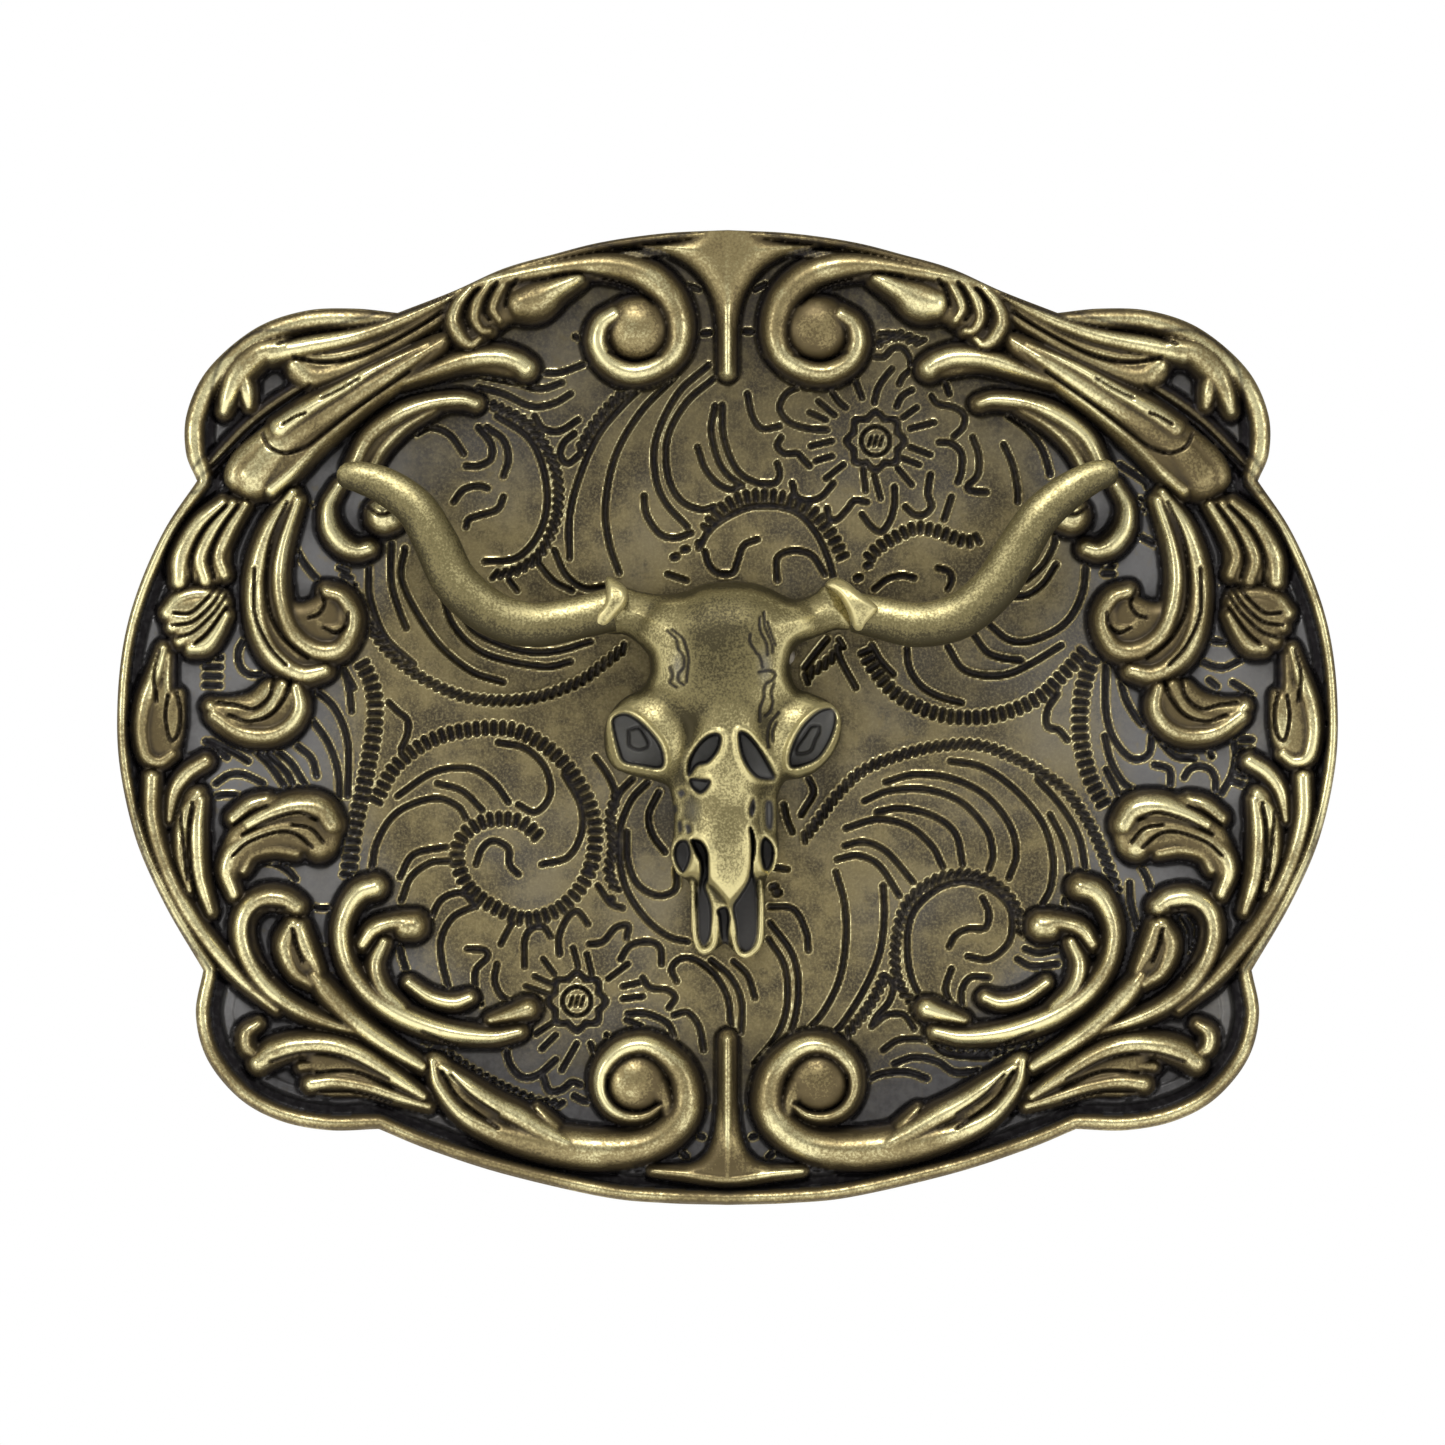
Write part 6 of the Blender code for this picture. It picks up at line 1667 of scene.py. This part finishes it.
# Hollows in the skull: floor height, rise of the rim round it, and the outline.
HOLLOWS = {
    "socket_left": (5.4, 0.5, [(-9.3, -0.4), (-8.9, 0.2), (-8.1, 0.35), (-7.2, -0.1), (-6.3, -0.9),
                               (-5.5, -1.9), (-5.1, -2.9), (-5.1, -3.8), (-5.6, -4.1), (-7, -3.9),
                               (-8.3, -3.6), (-8.8, -2.6)]),
    "socket_right": (5.4, 0.5, [(8.2, 0.8), (8.7, 0.4), (8.7, -0.6), (8.2, -2.0), (7.3, -3.3),
                                (6.1, -3.9), (5.1, -4.0), (4.9, -3.1), (5.3, -1.8), (6.1, -0.5),
                                (7.2, 0.5)]),
    "nostril_left": (6.0, 0.2, [(-0.5, -1.6), (-0.7, -2.6), (-1.5, -3.6), (-2.4, -3.9), (-3.1, -4.7),
                                (-3.1, -3.5), (-2.5, -2.3), (-1.7, -1.5), (-0.9, -1.25)]),
    "nostril_low": (6.1, 0.1, [(-3.0, -4.9), (-2.2, -4.9), (-1.4, -5.05), (-1.6, -5.7), (-2.2, -6.1),
                               (-2.9, -5.6)]),
    "nostril_right": (5.9, 0.2, [(0.9, -1.2), (1.6, -1.3), (2.4, -2.2), (3.2, -3.5), (3.8, -4.8),
                                 (3.3, -5.0), (2.3, -4.8), (1.5, -3.9), (1.0, -2.7)]),
    "cheek_left": (4.6, 0.25, [(-3.9, -9.9), (-3.2, -9.9), (-2.9, -10.8), (-3.1, -11.8), (-3.6, -12.5),
                               (-4.2, -11.6), (-4.3, -10.6)]),
    "cheek_right": (4.6, 0.25, [(3.1, -9.6), (3.7, -10.3), (3.7, -11.4), (3.3, -12.2), (2.9, -12.1),
                                (2.65, -11), (2.7, -10)]),
    "slot_left": (3.7, 0.1, [(-2.9, -9.8), (-2.1, -9.9), (-1.6, -10.7), (-1.5, -11.8), (-1.5, -12.9),
                             (-1.75, -13.6), (-1.3, -15), (-1.25, -16.5), (-1.4, -17.7), (-1.9, -18.3),
                             (-2.3, -17.6), (-2.4, -16), (-2.4, -14.2), (-2.2, -12.8), (-2.2, -11.6),
                             (-2.6, -10.8)]),
    "slot_right": (3.7, 0.1, [(1.8, -8.8), (2.1, -9.4), (2.2, -10.6), (2.0, -12), (2.3, -13.4),
                              (2.4, -15.5), (2.35, -17.5), (1.9, -18.6), (1.3, -18.8), (0.8, -18.1),
                              (0.6, -16.6), (0.4, -15.2), (0.9, -14.3), (1.5, -13.3), (1.8, -12.3),
                              (1.9, -11), (1.9, -10)]),
    "jaw_gap": (3.3, 0.0, [(-0.8, -15.4), (-0.1, -15.2), (0.2, -16), (0.1, -17.2), (0.1, -18.2),
                           (-0.3, -18.3), (-0.6, -17.4), (-0.7, -16.2)]),
    "long_pit": (6.3, 0.1, [(3.1, -6.7), (3.6, -6.8), (3.7, -8.1), (3.5, -9.0), (3.1, -8.7),
                            (3.0, -7.6)]),
    "short_pit": (6.6, 0.1, [(2.1, -6.5), (2.25, -7.2), (2.0, -7.9), (1.75, -7.6), (1.85, -6.9)]),
    "pit_a": (6.2, 0.1, [(-4.0, -6.0), (-3.6, -5.8), (-3.4, -6.1), (-3.7, -6.4)]),
    "pit_b": (5.6, 0.1, [(-4.4, -7.2), (-4.1, -7.0), (-4.0, -7.5), (-4.3, -7.7)]),
    "pit_c": (6.0, 0.1, [(-4.0, -8.4), (-3.7, -8.3), (-3.6, -9.0), (-3.9, -9.2)]),
    "pit_d": (6.4, 0.1, [(-3.4, -8.6), (-3.0, -8.6), (-2.9, -9.1), (-3.2, -9.3)]),
}

# Shallow cracks and the marks in the sockets.
SKULL_CRACKS = [
    [(-4.8, 6.9), (-4.1, 6.2), (-3.9, 5.4), (-3.5, 4.8), (-3.5, 4.0), (-3.9, 3.5), (-3.9, 2.9),
     (-3.5, 2.6)],
    [(-4.4, 7.0), (-3.6, 6.3), (-3.3, 5.6), (-3.1, 4.7), (-3.2, 3.6), (-3.3, 2.8)],
    [(-4.6, 4.0), (-4.4, 3.3), (-4.6, 2.8), (-4.1, 2.4)],
    [(2.9, 8.4), (3.0, 7.2), (3.5, 6.0), (3.6, 5.2)],
    [(2.6, 8.0), (2.6, 7.0), (3.1, 5.9), (3.2, 5.0)],
    [(3.2, 7.6), (3.5, 6.6), (3.8, 5.8)],
    [(1.8, 6.6), (1.8, 6.0), (2.2, 5.3), (2.6, 4.8), (2.8, 4.0)],
    [(2.5, 3.6), (3.3, 3.75), (3.8, 3.5), (3.6, 3.0), (3.1, 2.7), (2.9, 2.2), (2.9, 1.6), (2.6, 0.7),
     (2.6, -0.3)],
    [(3.7, 2.7), (3.5, 2.0), (3.6, 1.2), (3.4, 0.5), (3.0, 0.1)],
    [(-7.9, -1.0), (-7.1, -0.8), (-6.6, -1.4), (-6.3, -2.2), (-7.0, -2.6), (-7.8, -2.3), (-7.9, -1.6),
     (-7.9, -1.0)],
    [(7.3, -0.7), (6.7, -0.7), (6.1, -1.5), (5.5, -2.4), (5.6, -2.9), (6.6, -2.7), (7.0, -1.8),
     (7.3, -1.2), (7.3, -0.7)],
    [(4.1, 0.4), (3.4, -0.5), (3.2, -1.6), (3.3, -2.4)],
    [(3.9, -0.4), (3.6, -1.1), (3.6, -1.9)],
]

# Raised edges drawn over the skull: (x, z, half width) with the height of the crest.
SKULL_EDGES = [
    (4.9, [(2.2, -9.9, 0.2), (2.3, -11.5, 0.24), (2.55, -13, 0.27), (2.7, -15, 0.28), (2.7, -17, 0.28),
           (2.5, -18.2, 0.3), (1.9, -18.9, 0.3), (1.3, -19.1, 0.28), (0.8, -18.7, 0.24),
           (0.45, -17.6, 0.2), (0.3, -16.2, 0.18), (0.2, -15.2, 0.15)]),
    (4.9, [(-2.7, -11.6, 0.28), (-2.75, -13.2, 0.28), (-2.75, -14.6, 0.24), (-2.7, -16.2, 0.24),
           (-2.6, -17.6, 0.26), (-2.2, -18.6, 0.3), (-1.6, -18.7, 0.3), (-1.1, -18.1, 0.3),
           (-0.95, -17, 0.3), (-1.0, -15.8, 0.28), (-0.95, -14.8, 0.22)]),
    (6.9, [(1.8, -8.2, 0.2), (2.5, -8.6, 0.22), (3.0, -9.3, 0.22), (3.6, -9.9, 0.2), (3.9, -10.8, 0.2),
           (3.7, -12, 0.18), (3.3, -12.6, 0.15)]),
]


def skull_height(grid, inside):
    """Domes over the skull, lowered towards the tip of the jaw."""
    depth = np.clip(inside / SKULL_ROUND, 0, 1)
    height = SKULL_EDGE + SKULL_RISE * np.sqrt(1 - (1 - depth) ** 2)
    swell = grid.full(0)
    for dome in DOMES.values():
        grid.lump(swell, *dome)
    swell = blurred(swell, 0.35 / SKULL_STEP)
    below_tip = np.minimum(1.1 * np.abs(grid.x - 0.2) - 14.4, -12.3) - grid.z
    return height + swell * np.clip(inside / 0.8, 0, 1) - 1.9 * smooth_step(below_tip / 1.0)


def hollow_skull(grid, height):
    """The height with the hollows sunk in it, their dark rims and where their floors are."""
    rims, floors = grid.full(0), grid.full(0)
    for floor, rim, points in HOLLOWS.values():
        within = distance_inside(grid, smooth_path(points, 0.1, closed=True))
        sunk = rising(within, -0.08, 0.3)
        level = np.minimum(height, floor)
        height = height + rim * np.exp(-((within + 0.22) / 0.2) ** 2) * (within < 0.1)
        height = height * (1 - sunk) + level * sunk
        rims = np.maximum(rims, np.exp(-((within - 0.12) / 0.16) ** 2) * sunk)
        floors = np.maximum(floors, sunk)
    return height, rims, floors


def skull_wear(grid, height):
    """Worn on every swell, but duller on the brow and along the nose."""
    fine = height - blurred(height, 0.35 / SKULL_STEP)
    broad = height - blurred(height, 1.6 / SKULL_STEP)
    wear_and_painted_light = 0.44 + 0.24 * np.clip(broad / 0.8, -1, 1) + 0.26 * np.clip(fine / 0.14, -1, 1)
    brow = rising(grid.z, 1.0, 3) * falling(np.abs(grid.x), 5.0, 3)
    nose = falling(np.abs(grid.x - 0.1), 2.2, 1.0) * falling(grid.z, 1, 2)
    wear_and_painted_light = wear_and_painted_light - 0.04 * nose * rising(grid.z, -13, 2)
    return np.clip(wear_and_painted_light - 0.22 * brow - 0.10 * rising(grid.z, 5.0, 2), 0, 1)


def make_skull(material):
    """The skull, without its horns, as a relief of domes, hollows and cracks."""
    grid = even_grid(-11.6, 11.6, -20.4, 12.2, SKULL_STEP)
    inside = distance_inside(grid, smooth_path(SKULL_OUTLINE, 0.2, closed=True))
    height, rims, floors = hollow_skull(grid, skull_height(grid, inside))
    for crest, points in SKULL_EDGES:
        edge = grid.full(0)
        grid.ridge(edge, points, 1.0)
        height = np.maximum(height, (crest - CREST_RISE + CREST_RISE * edge) * (edge > 0))
    cracks = grid.full(LIP_REACH)
    for points in SKULL_CRACKS:
        grid.engrave(cracks, points, CRACK_HALF)
    crack = falling(cracks, 0.08, 0.16)
    height = height - CRACK_DEPTH * crack
    bare = grid.full(0)
    for x, z, tall, reach, fade in BARE_PATCHES:
        away = np.hypot(grid.x - x, (grid.z - z) / tall)
        bare = np.maximum(bare, falling(away, reach, fade))
    jaw_shade = 0.65 * floors * falling(grid.z, -8.5, 2)
    paints = {
        "wear_and_painted_light": skull_wear(grid, height),
        "soot_and_shade": np.clip(np.maximum.reduce([rims, 0.7 * crack, jaw_shade]), 0, 1),
        "grey": np.clip(np.maximum(0.95 * floors, 0.7 * bare), 0, 1),
    }
    skull = relief_mesh("skull", grid, height, inside, BADGE_FLOOR, paints)
    add_piece(skull, material, "buckle", "skull_badge")


# Horns: (x, z, height of the middle, radius) from the collar to the tip, for each side.
HORNS = {
    "horn_left": [(-9.3, 8.6, 6.6, 1.75), (-12.2, 7.9, 6.8, 1.7), (-15.5, 7.4, 7.1, 1.8),
                  (-18.8, 8.3, 7.4, 1.85), (-21.7, 10.8, 7.5, 1.85), (-23.3, 14, 7.4, 1.8),
                  (-24.9, 16.7, 7.3, 1.65), (-27.2, 18.4, 7.0, 1.5), (-29.2, 19.15, 6.7, 1.3),
                  (-30.1, 19.3, 6.6, 1.15)],
    "horn_right": [(10.2, 8.4, 6.6, 1.6), (12.4, 7.9, 6.8, 1.7), (15.2, 7.4, 7.1, 1.8),
                   (18.5, 8.1, 7.4, 1.85), (21.3, 10.4, 7.5, 1.85), (23, 13.1, 7.4, 1.8),
                   (24.8, 15.9, 7.3, 1.65), (27.0, 17.9, 7.0, 1.5), (29.0, 19.1, 6.7, 1.3),
                   (30.1, 19.5, 6.6, 1.15)],
}


# Angles, in degrees, of the rings of points that round off a horn's tip.
TIP_TURNS = [30, 55, 75, 88]


def make_horn(name, points, material, sides=40):
    """A round tapered tube with a domed tip, with a painted highlight along its upper front and
    painted shade below and towards the buckle's right.

    On it, x and z lie as on the buckle, and the third direction is the height.
    """
    path = smooth_path(points, 0.35)
    ahead = np.gradient(path[:, :3], axis=0)
    ahead /= np.linalg.norm(ahead, axis=1)[:, None]
    tip, tip_radius = path[-1, :3], points[-1][3]
    for turn in np.radians(TIP_TURNS):
        beyond = tip + ahead[-1] * tip_radius * math.sin(turn)
        path = np.vstack([path, [*beyond, tip_radius * math.cos(turn)]])
    ahead = np.vstack([ahead, np.repeat(ahead[-1:], len(TIP_TURNS), axis=0)])
    verts, wear_and_painted_light = [], []
    for (x, z, height, radius), (ax, az, ah) in zip(path, ahead):
        along = np.array([ax, az, ah])
        across = np.cross(along, (0, 0, 1))
        across /= np.linalg.norm(across)
        front = np.cross(across, along)
        for k in range(sides):
            angle = 2 * math.pi * k / sides
            offset = radius * (math.cos(angle) * across + math.sin(angle) * front)
            spot = np.array([x, z, height]) + offset
            verts.append((spot[0], -spot[2], spot[1]))
            right, up, forwards = offset / max(radius, 1e-6)
            # Painted highlight where the horn faces up and forwards, painted shade below and on its
            # right.
            crest = max(0.0, 0.45 * up + 0.89 * forwards)
            wear_and_painted_light.append(0.29 + 0.14 * up - 0.06 * right + 0.42 * crest ** 3)
    horn = new_piece(name, verts, loft(len(path), sides) + end_caps(len(path), sides), 60)
    paint_all(horn, wear_and_painted_light)
    add_piece(horn, material, "buckle", "skull_badge")


# Outlines of the collars where the horns leave the skull.
COLLARS = {
    "collar_left": [(-9.7, 11.2), (-8.9, 11.0), (-8.0, 10.2), (-8.0, 9.2), (-8.7, 8.2), (-9.8, 6.9),
                    (-10.9, 6.9), (-10.5, 8.2), (-9.8, 9.3)],
    "collar_right": [(7.8, 10.6), (8.6, 11.2), (9.5, 10.9), (10.8, 9.8), (12.0, 8.9), (11.9, 8.3),
                     (11.3, 7.5), (10.9, 6.6), (10.0, 7.0), (9.6, 8.4), (8.8, 9.8)],
}


COLLAR_STEP = 0.08
COLLAR_FOOT = 4.6
COLLAR_RISE = 4.3
COLLAR_MARGIN = 0.4


def make_collar(name, points, material):
    """A band bowed over the horn's root, with a rolled edge."""
    outline = smooth_path(points, 0.15, closed=True)
    low, high = outline.min(axis=0) - COLLAR_MARGIN, outline.max(axis=0) + COLLAR_MARGIN
    grid = even_grid(low[0], high[0], low[1], high[1], COLLAR_STEP)
    inside = distance_inside(grid, outline)
    middle_z = (low[1] + high[1]) / 2
    bow = np.sqrt(np.clip(1 - ((grid.z - middle_z) / (high[1] - middle_z + 0.1)) ** 2, 0.05, 1))
    roll = np.sqrt(1 - (1 - np.clip(inside / 0.55, 0, 1)) ** 2)
    height = COLLAR_FOOT + COLLAR_RISE * bow * (0.72 + 0.28 * roll)
    bright_edge = 1 - np.abs(2 * np.clip(inside / 0.7, 0, 1) - 1)
    paints = {
        "wear_and_painted_light": np.clip(0.60 + 0.35 * (bow - 0.6) + 0.30 * bright_edge, 0, 1),
        "soot_and_shade": grid.full(0),
        "grey": grid.full(0),
    }
    collar = relief_mesh(name, grid, height, inside, BADGE_FLOOR + 1.0, paints)
    add_piece(collar, material, "buckle", "skull_badge")


# ---------------------------------------------------------------------------------------------
# Studio

WORLD_CAST = 0.29
FLOOR_GLOW = 0.55

# Lights, in metres and watts: place, size and power.
LIGHTS = {
    "key_above": ((-0.07, -0.42, 0.55), 0.28, 4.1),
    "fill_left": ((-0.60, -0.35, 0.10), 0.30, 1.5),
    "fill_right": ((0.60, -0.35, 0.10), 0.30, 1.2),
    "low_front": ((0.0, -0.50, -0.35), 0.30, 0.35),
}


def make_floor():
    """A plain sheet below the buckle; behind it the white studio goes on without an edge."""
    level, wide, front, back = -0.14, 1.6, -1.8, 1.1
    verts = [(-wide, front, level), (wide, front, level), (wide, back, level), (-wide, back, level)]
    mesh = bpy.data.meshes.new("studio_floor")
    mesh.from_pydata(verts, [], [(0, 1, 2, 3)])
    floor = bpy.data.objects.new("studio_floor", mesh)
    bpy.context.scene.collection.objects.link(floor)
    paper = Shader("studio_paper", 0.9, 0.0)
    tone = paper.mix(paper.noise(3, detail=2), (0.93, 0.93, 0.93), (0.95, 0.95, 0.95))
    paper.link(tone, paper.shader.inputs["Base Color"])
    paper.link(tone, paper.shader.inputs["Emission Color"])
    paper.shader.inputs["Emission Strength"].default_value = FLOOR_GLOW
    floor.data.materials.append(paper.material)


def add_light(name, place, size, power):
    """A soft square light aimed at the buckle."""
    light = bpy.data.lights.new(name, "AREA")
    light.size = size
    light.energy = power
    obj = bpy.data.objects.new(name, light)
    obj.location = place
    obj.rotation_euler = (-Vector(place)).to_track_quat("-Z", "Y").to_euler()
    bpy.context.scene.collection.objects.link(obj)


def make_studio():
    """A floor, a world that looks white but casts less, and four soft lights."""
    make_floor()
    world = bpy.data.worlds.new("studio_world")
    bpy.context.scene.world = world
    world.use_nodes = True
    nodes, links = world.node_tree.nodes, world.node_tree.links
    seen, cast = nodes["Background"], nodes.new("ShaderNodeBackground")
    seen.inputs["Color"].default_value = (1, 1, 1, 1)
    cast.inputs["Color"].default_value = (1, 1, 1, 1)
    cast.inputs["Strength"].default_value = WORLD_CAST
    choice, ray = nodes.new("ShaderNodeMixShader"), nodes.new("ShaderNodeLightPath")
    links.new(ray.outputs["Is Camera Ray"], choice.inputs[0])
    links.new(cast.outputs[0], choice.inputs[1])
    links.new(seen.outputs[0], choice.inputs[2])
    links.new(choice.outputs[0], nodes["World Output"].inputs["Surface"])
    for name, (place, size, power) in LIGHTS.items():
        add_light(name, place, size, power)
    bpy.context.scene.view_settings.view_transform = "Standard"


def make_camera():
    """Straight at the front, with the frame 116 mm wide at the plate's face."""
    distance, frame_width, face, sensor, aside = 0.8, 0.116, 0.003, 36, -0.0004
    data = bpy.data.cameras.new("camera")
    data.sensor_width = sensor
    data.lens = sensor * distance / frame_width
    camera = bpy.data.objects.new("camera", data)
    camera.location = (aside, -distance - face, aside)
    camera.rotation_euler = (math.pi / 2, 0, 0)
    bpy.context.scene.collection.objects.link(camera)
    bpy.context.scene.camera = camera


# ---------------------------------------------------------------------------------------------
# The whole scene

make_plate_front()
make_plate_back()
plate_brass = antique_brass("lug_brass")
make_plate_edge(plate_brass)
make_lugs(plate_brass)
badge_brass = worn_brass("badge_brass")
make_skull(badge_brass)
for horn_name, horn_points in HORNS.items():
    make_horn(horn_name, horn_points, badge_brass)
for collar_name, collar_points in COLLARS.items():
    make_collar(collar_name, collar_points, badge_brass)
hardware_brass = antique_brass("hardware_brass")
make_bail(hardware_brass)
make_stud(hardware_brass)
make_pin(steel("pin_steel", (0.42, 0.40, 0.36), (0.20, 0.18, 0.15)))
make_screws(steel("fastener_steel", (0.46, 0.43, 0.37), (0.16, 0.14, 0.11)))
make_studio()
make_camera()
